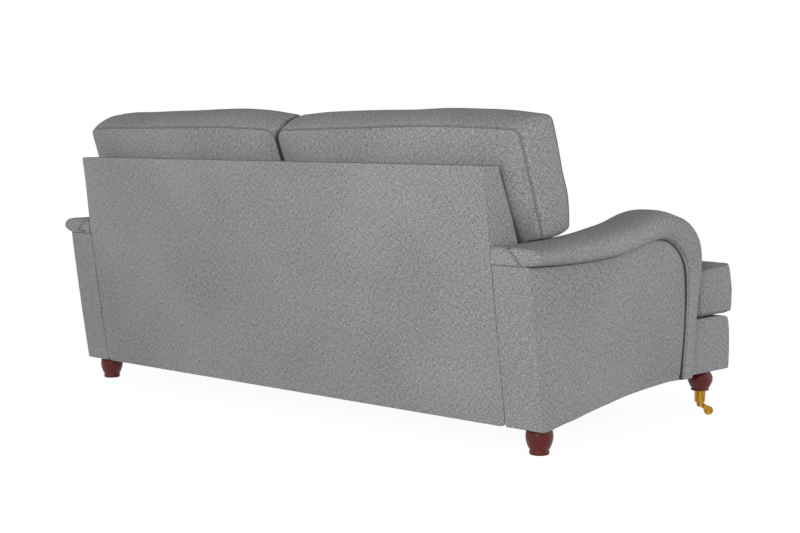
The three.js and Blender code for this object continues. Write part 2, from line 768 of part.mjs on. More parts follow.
// A cushion of a cover with a slit, a zip in the slit, and a filling
const addCushion = (name, form, trim, slitRoom, zip) => {
  const cover = trim(cushionSolid(form, 0), 0)
    .subtract(trim(cushionSolid(form, fabric), fabric))
    .subtract(slitRoom);
  addPair(`${name}_cover`, cover, coverFabric);
  addPair(`${name}_core`, trim(cushionSolid(form, lining), lining), foam);
  addPair(`${name}_zip`, zip, zipTape);
};

// An outline with one ear at its outer upper corner. The inward corner under the ear stays sharp.
const lShape = (inner, body, ear, low, earLow, high, radius) => divideEdges(roundCorners([
  [inner, low], [body, low], [body, earLow], [ear, earLow], [ear, high], [inner, high],
], radius, [2]), cushionEdgeStep);

const makeSeatCushions = () => {
  const inner = seatBulge + gap;
  const body = armInner - seatBulge - gap;
  const front = cushionFront + seatBulge - seatDraw / 2;
  const earRear = armFrontY(seatTop) - seatBulge - gap;
  const form = {
    outline: lShape(inner, body, seatHalfWidth, -seatRear, -earRear, -front, seatCushionRadius)
      .map(([x, y]) => [x, -y]).reverse(),
    middle: [body / 2, (front + earRear) / 2],
    lower: seatLowerSeamHeight,
    upper: seatSeamHeight,
    crown: seatCrown,
    reach: seatReach,
    lowerCrown: seatLowerSeamHeight - deckHeight - gap,
    lowerReach: seatLowerReach,
    lowerRings: flatRingShares,
    bulge: seatBulge,
    draw: seatDraw,
    place: (point) => point,
  };
  const zipX = body / 2;
  const zipY = seatRear + seatBulge - seatDraw / 2;
  const zipZ = (seatSeamHeight + seatLowerSeamHeight) / 2;
  const strip = (halfLength, rear, halfHeight) => boxSolid(zipX - halfLength, zipX + halfLength,
    zipY - fabric - gap, rear, zipZ - halfHeight, zipZ + halfHeight);
  addCushion('seat_cushion', form, (solid) => solid,
    strip(zipLength / 2, zipY + overrun, zipHeight / 2),
    strip(zipLength / 2 - gap, zipY - fabric - gap + zipThickness, zipHeight / 2 - gap));
};

const makeBackCushions = () => {
  const inner = backCushionBulge + backCushionFlare + gap;
  const body = armInner - backCushionBulge - gap;
  const frontSeam = backCushionSeamDepth + backCushionBoxing;
  const along = (z, depth) => (z - seatTop - depth * insideSin) / insideCos;
  const low = along(backCushionHemHeight, frontSeam);
  const earLow = along(backCushionEarHeight, frontSeam);
  const high = along(backCushionSeamHeight, backCushionSeamDepth);
  const middle = [body / 2, (earLow + high) / 2];
  const arched = ([x, v]) => {
    const across = (x - inner) / (backCushionHalfWidth - inner);
    const lift = v > middle[1] ? (v - middle[1]) / (high - middle[1]) : 0;
    return [x, v + backCushionArch * lift * (1 - (2 * across - 1) ** 2)];
  };
  const form = {
    outline: lShape(inner, body, backCushionHalfWidth, low, earLow, high, backCushionRadius)
      .map(arched),
    middle,
    lower: backCushionSeamDepth,
    upper: frontSeam,
    crown: backCushionCrown,
    reach: backCushionReach,
    lowerCrown: backCushionSeamDepth - gap,
    lowerReach: backCushionReach,
    lowerRings: faceRingShares,
    bulge: backCushionBulge,
    draw: -backCushionFlare,
    place: ([x, v, depth]) => [
      x,
      insideY(seatTop) + v * insideSin - depth * insideCos,
      seatTop + v * insideCos + depth * insideSin,
    ],
  };
  const trim = (solid, inset) => {
    const floor = seatTop + gap + inset;
    const under = boxSolid(-sofaDepth, sofaDepth, -sofaDepth, sofaDepth, 0, floor);
    return solid.subtract(armEnvelope(-gap - inset, true)).subtract(under);
  };
  const floor = seatTop + gap;
  const zipX = body / 2;
  const zipY = insideY(seatTop) - lerp(backCushionSeamDepth, frontSeam, zipPlaceShare);
  const strip = (halfLength, halfWidth, z0, z1) => boxSolid(zipX - halfLength, zipX + halfLength,
    zipY - halfWidth, zipY + halfWidth, z0, z1);
  addCushion('back_cushion', form, trim,
    strip(zipLength / 2, zipHeight / 2, floor - overrun, floor + fabric + gap),
    strip(zipLength / 2 - gap, zipHeight / 2 - gap, floor, floor + zipThickness));
};

// Turned legs, each on a hanger bolt that runs up into the side rail
const makeLegs = () => {
  const boreSolid = (top) => plugAt(0, 0, boltRadius + gap,
    top - boltLength * boltInLegShare - gap, top + overrun, boltSides);
  const rearTop = rearRailBottom - gap;
  const frontTop = frontRailBottom - gap;
  const shoulder = cupTop + gap;
  const tenonRadius = cupRadius - cupWall - gap;
  const rearProfile = [
    [0, 0],
    ...rearLegShares.map(([r, z]) => [r * legRadius, z * rearTop]),
    [0, rearTop],
  ];
  const frontProfile = [
    [0, tenonBottom], [tenonRadius, tenonBottom], [tenonRadius, shoulder],
    ...frontLegShares.map(([r, z]) => [r * legRadius, lerp(shoulder, frontTop, z)]),
    [0, frontTop],
  ];
  const legs = [
    ['rear_leg', rearProfile, rearLegY, rearTop, rearRailBottom],
    ['front_leg', frontProfile, frontLegY, frontTop, frontRailBottom],
  ];
  for (const [name, profile, y, top, railBottom] of legs) {
    const leg = solidOf(turnedGeometry(profile, turnedSides)).subtract(boreSolid(top));
    const bolt = plugAt(0, 0, boltRadius, top - boltLength * boltInLegShare,
      boltTop(railBottom), boltSides);
    for (const [side, x] of [['left', legX], ['right', -legX]]) {
      addPart(`${name}_${side}`, leg, mahogany()).position.set(x, y, 0);
      addPart(`${name}_bolt_${side}`, bolt, steel()).position.set(x, y, 0);
    }
  }
};

const makeCastors = () => {
  const holeRadius = pintleRadius + gap;
  const floorTop = cupBottom + cupWall;
  const cup = solidOf(turnedGeometry([
    [holeRadius, cupBottom], [cupRadius - cupTaper, cupBottom], [cupRadius, cupTop],
    [cupRadius - cupWall, cupTop], [cupRadius - cupWall, floorTop], [holeRadius, floorTop],
    [holeRadius, cupBottom],
  ], turnedSides));

  const flangeTop = cupBottom - gap;
  const bridgeTop = flangeTop - flangeHeight;
  const forkHalf = wheelWidth / 2 + cheekClearance + hornCheek;
  const headBottom = floorTop + gap;
  const swivel = solidOf(turnedGeometry([
    [0, bridgeTop], [flangeRadius, bridgeTop], [flangeRadius, flangeTop],
    [pintleRadius, flangeTop], [pintleRadius, headBottom], [pintleHeadRadius, headBottom],
    [pintleHeadRadius, headBottom + pintleHeadHeight], [0, headBottom + pintleHeadHeight],
  ], turnedSides));
  const cheekOutline = cheekShares.map(([along, up]) =>
    [along * castorTrail, lerp(wheelRadius, bridgeTop, up)]);
  const cheeks = [forkHalf - hornCheek, -forkHalf].map((y) =>
    alongY(cheekOutline, y, y + hornCheek));
  const bridge = boxSolid(bridgeRearShare * castorTrail, bridgeFrontShare * castorTrail,
    -forkHalf, forkHalf, bridgeTop - hornBridgeHeight, bridgeTop);
  const acrossFork = (profile, sides) => solidOf(turnedGeometry(profile, sides)
    .rotateX(Math.PI / 2).translate(castorTrail, 0, wheelRadius));
  const boreHalf = forkHalf + overrun;
  const bore = acrossFork([
    [0, -boreHalf], [axleRadius + gap, -boreHalf], [axleRadius + gap, boreHalf], [0, boreHalf],
  ], turnedSides);
  const horn = wasm.Manifold.union([swivel, bridge, ...cheeks]).subtract(bore);

  const headInner = forkHalf + gap;
  const headOuter = headInner + axleHeadLength;
  const axle = acrossFork([
    [0, -headOuter], [axleHeadRadius, -headOuter], [axleHeadRadius, -headInner],
    [axleRadius, -headInner], [axleRadius, headInner], [axleHeadRadius, headInner],
    [axleHeadRadius, headOuter], [0, headOuter],
  ], turnedSides);
  const rim = wheelShares.map(([r, w]) => [r * wheelRadius, w * wheelWidth]);
  const boreEnds = [[axleRadius + gap, wheelWidth / 2], [axleRadius + gap, -wheelWidth / 2]];
  const wheel = acrossFork([...rim, ...boreEnds, rim[0]], turnedSides);

  const turn = rad(castorTurnDegrees);
  for (const [side, x, angle] of [['left', legX, turn], ['right', -legX, Math.PI - turn]]) {
    addPart(`castor_cup_${side}`, cup, brass()).position.set(x, frontLegY, 0);
    const castor = new THREE.Group();
    castor.position.set(x, frontLegY, 0);
    castor.rotation.z = angle;
    sofa.add(castor);
    addPart(`castor_horn_${side}`, horn, brass(), castor);
    addPart(`castor_axle_${side}`, axle, brass(), castor);
    addPart(`castor_wheel_${side}`, wheel, brass(), castor);
  }
};

makeSeatFrame();
makeBackFrame();
makeArmFrame();
makeSeatSprings();
makeWebbing();
makePads();
makeArmCovers();
makeBackCovers();
makeBorderAndDeck();
makeDustCover();
makeSeatCushions();
makeBackCushions();
makeLegs();
makeCastors();

export default sofa;
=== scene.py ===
import json
import math

import bmesh
import bpy
from mathutils import Matrix, Vector, geometry, kdtree, noise
from mathutils.bvhtree import BVHTree


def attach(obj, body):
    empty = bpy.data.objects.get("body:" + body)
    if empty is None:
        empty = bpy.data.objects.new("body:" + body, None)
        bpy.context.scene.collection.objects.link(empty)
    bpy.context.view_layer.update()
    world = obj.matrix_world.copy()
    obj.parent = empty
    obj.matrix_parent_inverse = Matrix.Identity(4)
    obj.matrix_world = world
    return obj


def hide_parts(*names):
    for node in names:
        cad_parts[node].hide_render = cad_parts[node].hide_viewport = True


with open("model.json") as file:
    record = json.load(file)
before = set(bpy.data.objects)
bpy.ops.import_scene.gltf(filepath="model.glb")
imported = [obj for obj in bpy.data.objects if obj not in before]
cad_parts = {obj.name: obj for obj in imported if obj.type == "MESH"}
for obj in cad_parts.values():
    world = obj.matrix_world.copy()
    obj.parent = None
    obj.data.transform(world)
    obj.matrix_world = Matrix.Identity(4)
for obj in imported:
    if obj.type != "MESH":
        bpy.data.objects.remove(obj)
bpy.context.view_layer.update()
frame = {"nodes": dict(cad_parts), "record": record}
scene = bpy.context.scene
print("frame loaded:", len(frame["nodes"]), "nodes")

# Lengths are in millimetres, +Z up. The sitter faces -Y, and the sitter's right is at -X.
# A piece is shaped for the left arm, at +X, and mirrored for the right one.
toMetres = 0.001
sides = {"left": 1, "right": -1}

# The frame that the covers are pulled over, as the model has it
sofa = {
    "rearTop": 519.0, "insideTop": 452.0, "backTop": 747.0,  # the back's two faces, at its top
    "rearRake": 8.2, "insideRake": 20.5, "armLean": 5.35,  # degrees off upright
    "armInner": 815.0, "panel": 970.0, "band": 976.0,  # the arm's faces, out from the middle
    "overhang": 30.0, "armFront": -328.0, "armTop": 618.0,
    "deck": 290.0, "seatTop": 470.0, "rearHem": 70.5, "backHem": 69.8,
}
rearSlope = math.tan(math.radians(sofa["rearRake"]))
insideSlope = math.tan(math.radians(sofa["insideRake"]))
armSlope = math.tan(math.radians(sofa["armLean"]))


def rearY(z):
    return sofa["rearTop"] - (sofa["backTop"] - z) * rearSlope


def insideY(z):
    return sofa["insideTop"] - (sofa["backTop"] - z) * insideSlope


def armFrontY(z):
    return sofa["armFront"] + (sofa["armTop"] - z) * armSlope


def mix(a, b, share):
    return a + (b - a) * share


def smoothStep(value, low, high):
    share = min(max((value - low) / (high - low), 0.0), 1.0)
    return share * share * (3 - 2 * share)


def spread(count):
    return [i / (count - 1) for i in range(count)]


def hump(distance, width):
    return math.exp(-(distance / width) ** 2)


# A smooth curve through rows of numbers, read at place 0 to len(rows) - 1
def curveAt(rows, place):
    i = min(max(int(place), 0), len(rows) - 2)
    t = place - i
    a, b = rows[max(i - 1, 0)], rows[i]
    c, d = rows[i + 1], rows[min(i + 2, len(rows) - 1)]
    return [
        0.5 * (2 * q + (r - p) * t + (2 * p - 5 * q + 4 * r - s) * t * t
               + (3 * q - p - 3 * r + s) * t ** 3)
        for p, q, r, s in zip(a, b, c, d)
    ]


# The smooth curve through rows as close points, with the way along it to each
def tracedCurve(rows, perSpan=24):
    fine = [curveAt(rows, i / perSpan) for i in range((len(rows) - 1) * perSpan + 1)]
    reach = [0.0]
    for p, q in zip(fine, fine[1:]):
        reach.append(reach[-1] + math.dist(p, q))
    return fine, reach


def pointsAlong(traced, goals):
    fine, reach = traced
    points, k = [], 0
    for goal in goals:
        while k < len(fine) - 2 and reach[k + 1] < goal:
            k += 1
        span = max(reach[k + 1] - reach[k], 1e-9)
        points.append([mix(p, q, (goal - reach[k]) / span) for p, q in zip(fine[k], fine[k + 1])])
    return points


def evenPoints(rows, count):
    traced = tracedCurve(rows)
    return pointsAlong(traced, [share * traced[1][-1] for share in spread(count)])


def addObject(name, data):
    holder = bpy.data.objects.new(name, data)
    scene.collection.objects.link(holder)
    return holder


def linear(hexColour):
    parts = [int(hexColour[i:i + 2], 16) / 255 for i in (1, 3, 5)]
    return [*(p / 12.92 if p <= 0.04045 else ((p + 0.055) / 1.055) ** 2.4 for p in parts), 1.0]


def addNode(tree, kind, inputs=None, **settings):
    node = tree.nodes.new(kind)
    for key, value in settings.items():
        setattr(node, key, value)
    for key, value in (inputs or {}).items():
        if isinstance(value, bpy.types.NodeSocket):
            tree.links.new(value, node.inputs[key])
        else:
            node.inputs[key].default_value = value
    return node


def newMaterial(name):
    material = bpy.data.materials.new(name)
    material.use_nodes = True
    tree = material.node_tree
    return material, tree, tree.nodes["Principled BSDF"]


def colourRamp(tree, factor, stops):
    ramp = addNode(tree, "ShaderNodeValToRGB", {"Fac": factor})
    elements = ramp.color_ramp.elements
    while len(elements) < len(stops):
        elements.new(0.5)
    for element, (place, colour) in zip(elements, stops):
        element.position = place
        element.color = linear(colour)
    return ramp.outputs["Color"]


# Cover cloth: polyester and wool in a plain weave, spun from mixed light and dark fibre. Matt and
# speckled, with short thick runs of yarn both ways. Yarns lie 0.8 mm apart, too fine to show, so
# the drawn ones are three times as coarse. The seam colour is painted shade, laid where the shade
# attribute marks seams, pleats, creases and cloth pinched between cushions.
heather = {
    "yarnMm": 2.4, "speckMm": 2.1, "slubLongMm": 10, "slubWideMm": 1.9, "cloudMm": 300,
    "speck": 0.55, "slub": 0.3, "cloud": 0.06, "yarn": 0.25,  # how much each adds to the tone
    "dark": (0.71, "#696a6b"), "middle": (0.805, "#8b8b8c"), "light": (0.9, "#aaabac"),
    # the seam colour is the colour of the painted shade
    "seam": "#303032", "bump": 0.4, "reliefMm": 0.8,
    "roughness": 0.95, "specular": 0.06, "sheen": 0.02, "sheenRoughness": 0.6,
}


def wovenHeather(name):
    material, tree, shader = newMaterial(name)
    place = addNode(tree, "ShaderNodeUVMap", uv_map="weave").outputs["UV"]
    perMetre = 1 / toMetres

    def grain(x, y, detail, offset):
        at = addNode(tree, "ShaderNodeMapping", {
            "Vector": place, "Location": (offset, offset * 0.7, 0),
            "Scale": (perMetre / x, perMetre / y, 1)}).outputs["Vector"]
        return addNode(tree, "ShaderNodeTexNoise", {
            "Vector": at, "Scale": 1.0, "Detail": detail, "Roughness": 0.6},
            noise_dimensions="2D").outputs["Fac"]

    speck = grain(heather["speckMm"], heather["speckMm"], 2.0, 3.1)
    weft = grain(heather["slubLongMm"], heather["slubWideMm"], 1.0, 7.7)
    warp = grain(heather["slubWideMm"], heather["slubLongMm"], 1.0, 1.3)
    broad = grain(heather["cloudMm"], heather["cloudMm"], 1.0, 5.9)
    slubs = addNode(tree, "ShaderNodeMath", {0: weft, 1: warp}, operation="ADD").outputs[0]
    both = addNode(tree, "ShaderNodeMath", {0: slubs, 1: heather["slub"], 2: 0.2},
                   operation="MULTIPLY_ADD").outputs[0]
    fine = addNode(tree, "ShaderNodeMath", {0: speck, 1: heather["speck"], 2: both},
                   operation="MULTIPLY_ADD").outputs[0]
    tone = addNode(tree, "ShaderNodeMath", {0: broad, 1: heather["cloud"], 2: fine},
                   operation="MULTIPLY_ADD").outputs[0]
    colour = colourRamp(tree, tone, [heather[key] for key in ("dark", "middle", "light")])
    # Painted shade: the colour turns toward the seam colour where the shade attribute is high
    shade = addNode(tree, "ShaderNodeAttribute", attribute_name="paintedShade").outputs["Fac"]
    sewn = addNode(tree, "ShaderNodeMix", {0: shade, 6: colour, 7: linear(heather["seam"])},
                   data_type="RGBA").outputs[2]
    tree.links.new(sewn, shader.inputs["Base Color"])
    parts = addNode(tree, "ShaderNodeSeparateXYZ", {"Vector": place}).outputs
    waves = []
    for way in (0, 1):
        angle = addNode(tree, "ShaderNodeMath", {
            0: parts[way], 1: math.pi * perMetre / heather["yarnMm"]},
            operation="MULTIPLY").outputs[0]
        waves.append(addNode(tree, "ShaderNodeMath", {0: angle}, operation="SINE").outputs[0])
    overs = addNode(tree, "ShaderNodeMath", {0: waves[0], 1: waves[1]},
                    operation="MULTIPLY").outputs[0]
    height = addNode(tree, "ShaderNodeMath", {0: overs, 1: heather["yarn"], 2: fine},
                     operation="MULTIPLY_ADD").outputs[0]
    bumped(tree, shader, height, heather["bump"], heather["reliefMm"])
    shader.inputs["Roughness"].default_value = heather["roughness"]
    shader.inputs["Specular IOR Level"].default_value = heather["specular"]
    shader.inputs["Sheen Weight"].default_value = heather["sheen"]
    shader.inputs["Sheen Roughness"].default_value = heather["sheenRoughness"]
    return material


# The part of a material that a pattern in space makes: a noise stretched along one axis
def spaceGrain(tree, grainMm, stretch=(1, 1, 1), detail=3.0, distortion=0.0):
    place = addNode(tree, "ShaderNodeTexCoord").outputs["Object"]
    at = addNode(tree, "ShaderNodeMapping", {
        "Vector": place,
        "Scale": [1 / (toMetres * grainMm * s) for s in stretch]}).outputs["Vector"]
    return addNode(tree, "ShaderNodeTexNoise", {
        "Vector": at, "Scale": 1.0, "Detail": detail, "Roughness": 0.6,
        "Distortion": distortion}).outputs["Fac"]


def bumped(tree, shader, height, strength, depthMm):
    bump = addNode(tree, "ShaderNodeBump", {
        "Height": height, "Strength": strength, "Distance": depthMm * toMetres})
    tree.links.new(bump.outputs["Normal"], shader.inputs["Normal"])


# Hardwood: long grain along the piece, open pores, bare from the plane or under satin varnish.
# Grain is how wide a figure line is, in mm, and how it runs.
def grainedWood(name, dark, light, grain, finish):
    material, tree, shader = newMaterial(name)
    figure = spaceGrain(tree, grain["mm"], grain["stretch"], 4.0, 0.4)
    pores = spaceGrain(tree, grain["mm"] * 0.22, grain["stretch"], 2.0)
    tone = addNode(tree, "ShaderNodeMath", {0: pores, 1: 0.35, 2: figure},
                   operation="MULTIPLY_ADD").outputs[0]
    tree.links.new(colourRamp(tree, tone, [(0.45, dark), (0.9, light)]),
                   shader.inputs["Base Color"])
    bumped(tree, shader, tone, 0.12, 0.2)
    shader.inputs["Roughness"].default_value = finish["roughness"]
    shader.inputs["Specular IOR Level"].default_value = finish["shine"]
    shader.inputs["Coat Weight"].default_value = finish["coat"]
    shader.inputs["Coat Roughness"].default_value = 0.22
    return material


# Bare metal: lacquered cast brass, drawn spring wire, zinc-plated bolts. Darker, duller patches lie
# between brighter, smoother ones; on the brass they run along its height as painted reflection.
def mottledMetal(name, dark, light, rubbedRoughness, dullRoughness, patchMm, stretch=(1, 1, 1)):
    material, tree, shader = newMaterial(name)
    patches = spaceGrain(tree, patchMm, stretch, 3.0)
    tree.links.new(colourRamp(tree, patches, [(0.36, dark), (0.62, light)]),
                   shader.inputs["Base Color"])
    rough = addNode(tree, "ShaderNodeMapRange", {
        "Value": patches, "From Min": 0.36, "From Max": 0.62, "To Min": dullRoughness,
        "To Max": rubbedRoughness}).outputs["Result"]
    tree.links.new(rough, shader.inputs["Roughness"])
    bumped(tree, shader, spaceGrain(tree, 0.9), 0.08, 0.05)
    shader.inputs["Metallic"].default_value = 1.0
    return material


# Linings, webbing, filling and zip tape: a fibrous grain in space, quite matt
def plainFibre(name, dark, light, grainMm, depthMm, stretch=(1, 1, 1)):
    material, tree, shader = newMaterial(name)
    fibres = spaceGrain(tree, grainMm, stretch)
    tree.links.new(colourRamp(tree, fibres, [(0.3, dark), (0.7, light)]),
                   shader.inputs["Base Color"])
    bumped(tree, shader, fibres, 0.5, depthMm)
    shader.inputs["Roughness"].default_value = 0.95
    shader.inputs["Specular IOR Level"].default_value = 0.2
    return material


coverCloth = wovenHeather("wovenHeatherCover")
# Mahogany, turned, stained and varnished: dark red brown, the grain just showing, a soft shine
mahoganyWood = grainedWood("varnishedMahogany", "#330b08", "#70221a",
                           {"mm": 2.2, "stretch": (1, 1, 9)},
                           {"roughness": 0.45, "shine": 0.25, "coat": 0.1})
# Beech, planed and left bare: pale straw, with fine grain along the rails, nearly matt
beechWood = grainedWood("planedBeech", "#b8976a", "#d2b58a", {"mm": 3.0, "stretch": (12, 1, 1)},
                        {"roughness": 0.6, "shine": 0.4, "coat": 0.0})
# Brass, cast and lacquered: golden and brown in bands along its height, painted reflection; the
# brown is also duller
brassMetal = mottledMetal("lacqueredCastBrass", "#7d5515", "#c2963c", 0.2, 0.38, 7.0, (1, 1, 5))
# Spring steel, drawn as wire: mid grey, half dull
springSteel = mottledMetal("drawnSpringSteel", "#5f6266", "#8a8d92", 0.35, 0.55, 4.0)
# Mild steel, forged and zinc plated: pale bluish grey with a soft gleam
zincSteel = mottledMetal("zincPlatedSteel", "#9a9da0", "#bfc2c4", 0.3, 0.45, 3.0)
# Cotton platform cloth, plain woven: even mid grey, quite matt
platformCloth = plainFibre("plainWovenPlatform", "#5f6062", "#7c7d7f", 2.0, 0.3)
# Polypropylene, spunbonded: thin black felt without a shine
dustCloth = plainFibre("spunbondDustCloth", "#1b1b1d", "#303033", 1.8, 0.3)
# Jute, woven into bands: coarse brown fibre along them
juteCloth = plainFibre("juteWebbing", "#5a4830", "#84704e", 2.5, 0.8, (1, 1, 4))
# Polyurethane foam, cut: cream, with fine open cells
foamFill = plainFibre("cutFoam", "#ddd0ae", "#efe6cb", 1.2, 0.4)
# Nylon, woven as tape: smooth dark grey
zipCloth = plainFibre("nylonZipTape", "#434446", "#5e5f62", 1.0, 0.2, (4, 1, 1))
slotFinish = {
    "platform_cloth": platformCloth, "dust_cloth": dustCloth, "jute_webbing": juteCloth,
    "padding": foamFill, "cushion_filling": foamFill, "zip_tape": zipCloth,
    "frame_timber": beechWood, "leg_timber": mahoganyWood, "spring_steel": springSteel,
    "bolt_steel": zincSteel, "castor_brass": brassMetal, "cover_fabric": coverCloth,
}
print("materials made:", len(slotFinish))


# A sheet of quads on a grid of columns and rows, each corner put in place by a function. Its UV
# map measures the cloth in metres along the columns and rows.
def sheetGrid(columns, rows, place):
    bm = bmesh.new()
    lastColumn, lastRow = len(columns) - 1, len(rows) - 1
    bmesh.ops.create_grid(bm, x_segments=lastColumn, y_segments=lastRow, size=1)
    columnLayer = bm.verts.layers.int.new("column")
    rowLayer = bm.verts.layers.int.new("row")
    spots = {}
    for vertex in bm.verts:
        i = round((vertex.co.x + 1) / 2 * lastColumn)
        j = round((vertex.co.y + 1) / 2 * lastRow)
        vertex.co = place(columns[i], rows[j])
        vertex[columnLayer], vertex[rowLayer] = i, j
        spots[vertex] = (i, j)
    corner = {key: vertex.co for vertex, key in spots.items()}
    alongCloth = [0.0]
    for i in range(lastColumn):
        steps = [(corner[i + 1, j] - corner[i, j]).length for j in range(lastRow + 1)]
        alongCloth.append(alongCloth[-1] + sum(steps) / len(steps))
    acrossCloth = {}
    for i in range(lastColumn + 1):
        reach = 0.0
        for j in range(lastRow + 1):
            reach += (corner[i, j] - corner[i, max(j - 1, 0)]).length
            acrossCloth[i, j] = reach
    weave = bm.loops.layers.uv.new("weave")
    for face in bm.faces:
        for loop in face.loops:
            i, j = spots[loop.vert]
            loop[weave].uv = (alongCloth[i] * toMetres, acrossCloth[i, j] * toMetres)
    return bm


# Turns a finished bmesh into a piece that stands for some nodes, mirrored for the right side
def finishPiece(name, bm, nodes, side="left", body="sofa_frame", slot="cover_fabric", subdivide=1,
                thickness=0.0):
    bmesh.ops.scale(bm, vec=(toMetres * sides[side], toMetres, toMetres), verts=bm.verts)
    if side == "right":
        bmesh.ops.reverse_faces(bm, faces=bm.faces)
    mesh = bpy.data.meshes.new(name)
    bm.to_mesh(mesh)
    bm.free()
    for polygon in mesh.polygons:
        polygon.use_smooth = True
    piece = addObject(name, mesh)
    mesh.materials.append(slotFinish[slot])
    if thickness:
        wall = piece.modifiers.new("wall", "SOLIDIFY")
        wall.thickness = thickness * toMetres
        wall.offset = -1
    if subdivide:
        rounding = piece.modifiers.new("rounding", "SUBSURF")
        rounding.levels = rounding.render_levels = subdivide
    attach(piece, body)
    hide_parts(*nodes)
    return piece


def bevelEdges(bm, edges, offset, segments):
    bmesh.ops.bevel(bm, geom=edges, offset=offset, offset_type="OFFSET", segments=segments,
                    profile=0.5, affect="EDGES", material=-1, clamp_overlap=True)


# Draws all faces out as a block
def drawOut(bm, way):
    grown = bmesh.ops.extrude_face_region(bm, geom=bm.faces[:])["geom"]
    moved = [g for g in grown if isinstance(g, bmesh.types.BMVert)]
    bmesh.ops.translate(bm, verts=moved, vec=way)


# The edges of a block that join its lower and upper face, and those around the two
def blockEdges(bm, height):
    walls = [e for e in bm.edges if abs(e.verts[0].co.z - e.verts[1].co.z) > height / 2]
    wallSet = set(walls)
    rims = [e for e in bm.edges if e not in wallSet
            and any(len({v.co.z for v in f.verts}) > 1 for f in e.link_faces)]
    return walls, rims


# Faces turned to the outside: the side where a point known to be outside lies
def faceOutwards(bm, outside):
    bm.normal_update()
    bm.faces.ensure_lookup_table()
    face = min(bm.faces, key=lambda f: (f.calc_center_median() - outside).length)
    bmesh.ops.recalc_face_normals(bm, faces=bm.faces)
    bm.normal_update()
    if face.normal.dot(outside - face.calc_center_median()) < 0:
        bmesh.ops.reverse_faces(bm, faces=bm.faces)


# Cloth laid flat against a box: each face takes its weave from the way it looks
def boxWeave(bm):
    bm.normal_update()
    weave = bm.loops.layers.uv.new("weave")
    for face in bm.faces:
        size = [abs(c) for c in face.normal]
        for loop in face.loops:
            p = loop.vert.co
            if size[1] >= max(size[0], size[2]):
                uv = (p.x, p.z)
            elif size[0] >= size[2]:
                uv = (p.y, p.z)
            else:
                uv = (p.x, p.y)
            loop[weave].uv = (uv[0] * toMetres, uv[1] * toMetres)


# The vertex attribute of painted shade that the cover cloth's colour reads
def shadeLayer(bm):
    return bm.verts.layers.float.get("paintedShade") or bm.verts.layers.float.new("paintedShade")


# A box-edged cushion is cut as an L: a body, and an ear beside it. Across and along lie in its
# faces, thick is the boxing between its two seams, all of them before it is filled. Under is how
# far its first face lies above the floor, or in front of the inside back. A crown is how far the
# filling lifts a face once it is its reach from the edges.
seatCushion = {
    "inner": 10.5, "body": 804.5, "ear": 946.0, "low": -277.0, "earLow": 332.0, "high": 512.0,
    "thick": 142.0, "under": 301.0, "step": 13.0, "lowCrown": 10.5, "highCrown": 30.0,
    "bulge": 8.0, "lowReach": 24.0, "highReach": 240.0, "earFull": 0.8, "loose": 0.02,
    "lump": 1.6, "fill": 0.8,
}
backCushion = {
    "inner": 20.0, "body": 803.0, "ear": 908.0, "low": -34.0, "earLow": 30.0, "high": 380.0,
    "thick": 108.0, "under": 50.0, "step": 12.0, "lowCrown": 49.5, "highCrown": 44.0,
    "bulge": 9.0, "lowReach": 210.0, "highReach": 210.0, "earFull": 0.5, "loose": 0.03,
    "lump": 3.0, "fill": 0.7,
}
# Where the filled cushion's two seams run, each pair the lower or rear seam and the other one.
# The crest is the height of the seam's long edge at even places from the inner end to the ear,
# and the sags are how far the ear's end leans out at even heights.
seatForm = {
    "inner": (10.5, 10.5), "body": (804.5, 804.5), "ear": (951.0, 945.5), "low": (-277, -277),
    "earUnder": (332, 332), "earTip": (332, 332), "crest": ([518.0] * 9, [510.0] * 9),
    "topRadius": (14.0, 13.0), "innerRadius": (16.0, 15.0), "lowRadius": (22.0, 22.0),
    "sag": [0] * 7, "rearSag": [0] * 7,
}
backForm = {
    "body": (803, 803), "low": (-17.9, -50.5), "earUnder": (43, 17), "earTip": (69, 54),
    "topRadius": (27.0, 18.0), "innerRadius": (38.0, 12.0), "lowRadius": (20.0, 8.0),
}
backForms = {
    "left": {
        **backForm, "inner": (23.0, 5.0), "ear": (919.5, 931.0),
        "crest": ([372, 378, 381, 381, 380.5, 380, 379.5, 379.5, 376],
                  [381, 395, 402, 401.5, 398.5, 397, 394.5, 393, 381]),
        "sag": [-20, -8, 0, 2, 4, 4, 3], "rearSag": [0, 8, 12, 10, 7, 3, 0],
    },
    "right": {
        **backForm, "inner": (-15.0, -0.5), "ear": (897.0, 922.0),
        "crest": ([372, 374.5, 377.5, 380, 383, 384, 383.5, 380, 376],
                  [381, 388.5, 391.5, 393, 393, 396.5, 394, 388.5, 376]),
        "sag": [-20, -8, 0, -1, 2, 4, 4], "rearSag": [0] * 7,
    },
}
# A seam is rounded over its reach. The groove beside it lies at line, and nothing shows past far.
# Shade is the painted shade laid in the groove.
seamDetail = {"reach": 7.0, "segments": 8, "ridge": 1.3, "ridgeWidth": 1.8, "line": 2.0,
              "width": 0.9, "depth": 1.5, "shade": 0.8, "spacing": 2.0, "far": 12.0}


def gridLines(shape, keys):
    lines = []
    for start, end in zip(keys, keys[1:]):
        count = max(1, round((shape[end] - shape[start]) / shape["step"]))
        lines += [mix(shape[start], shape[end], i / count) for i in range(count)]
    return lines + [shape[keys[-1]]]


# Turns a square corner of an even grid into a round one
def roundCorner(a, b, cornerA, cornerB, inA, inB, radius):
    s = (radius - abs(a - cornerA)) / radius
    t = (radius - abs(b - cornerB)) / radius
    if s <= 0 or t <= 0:
        return a, b
    turnedS = s * math.sqrt(1 - t * t / 2)
    turnedT = t * math.sqrt(1 - s * s / 2)
    return cornerA + inA * radius * (1 - turnedS), cornerB + inB * radius * (1 - turnedT)


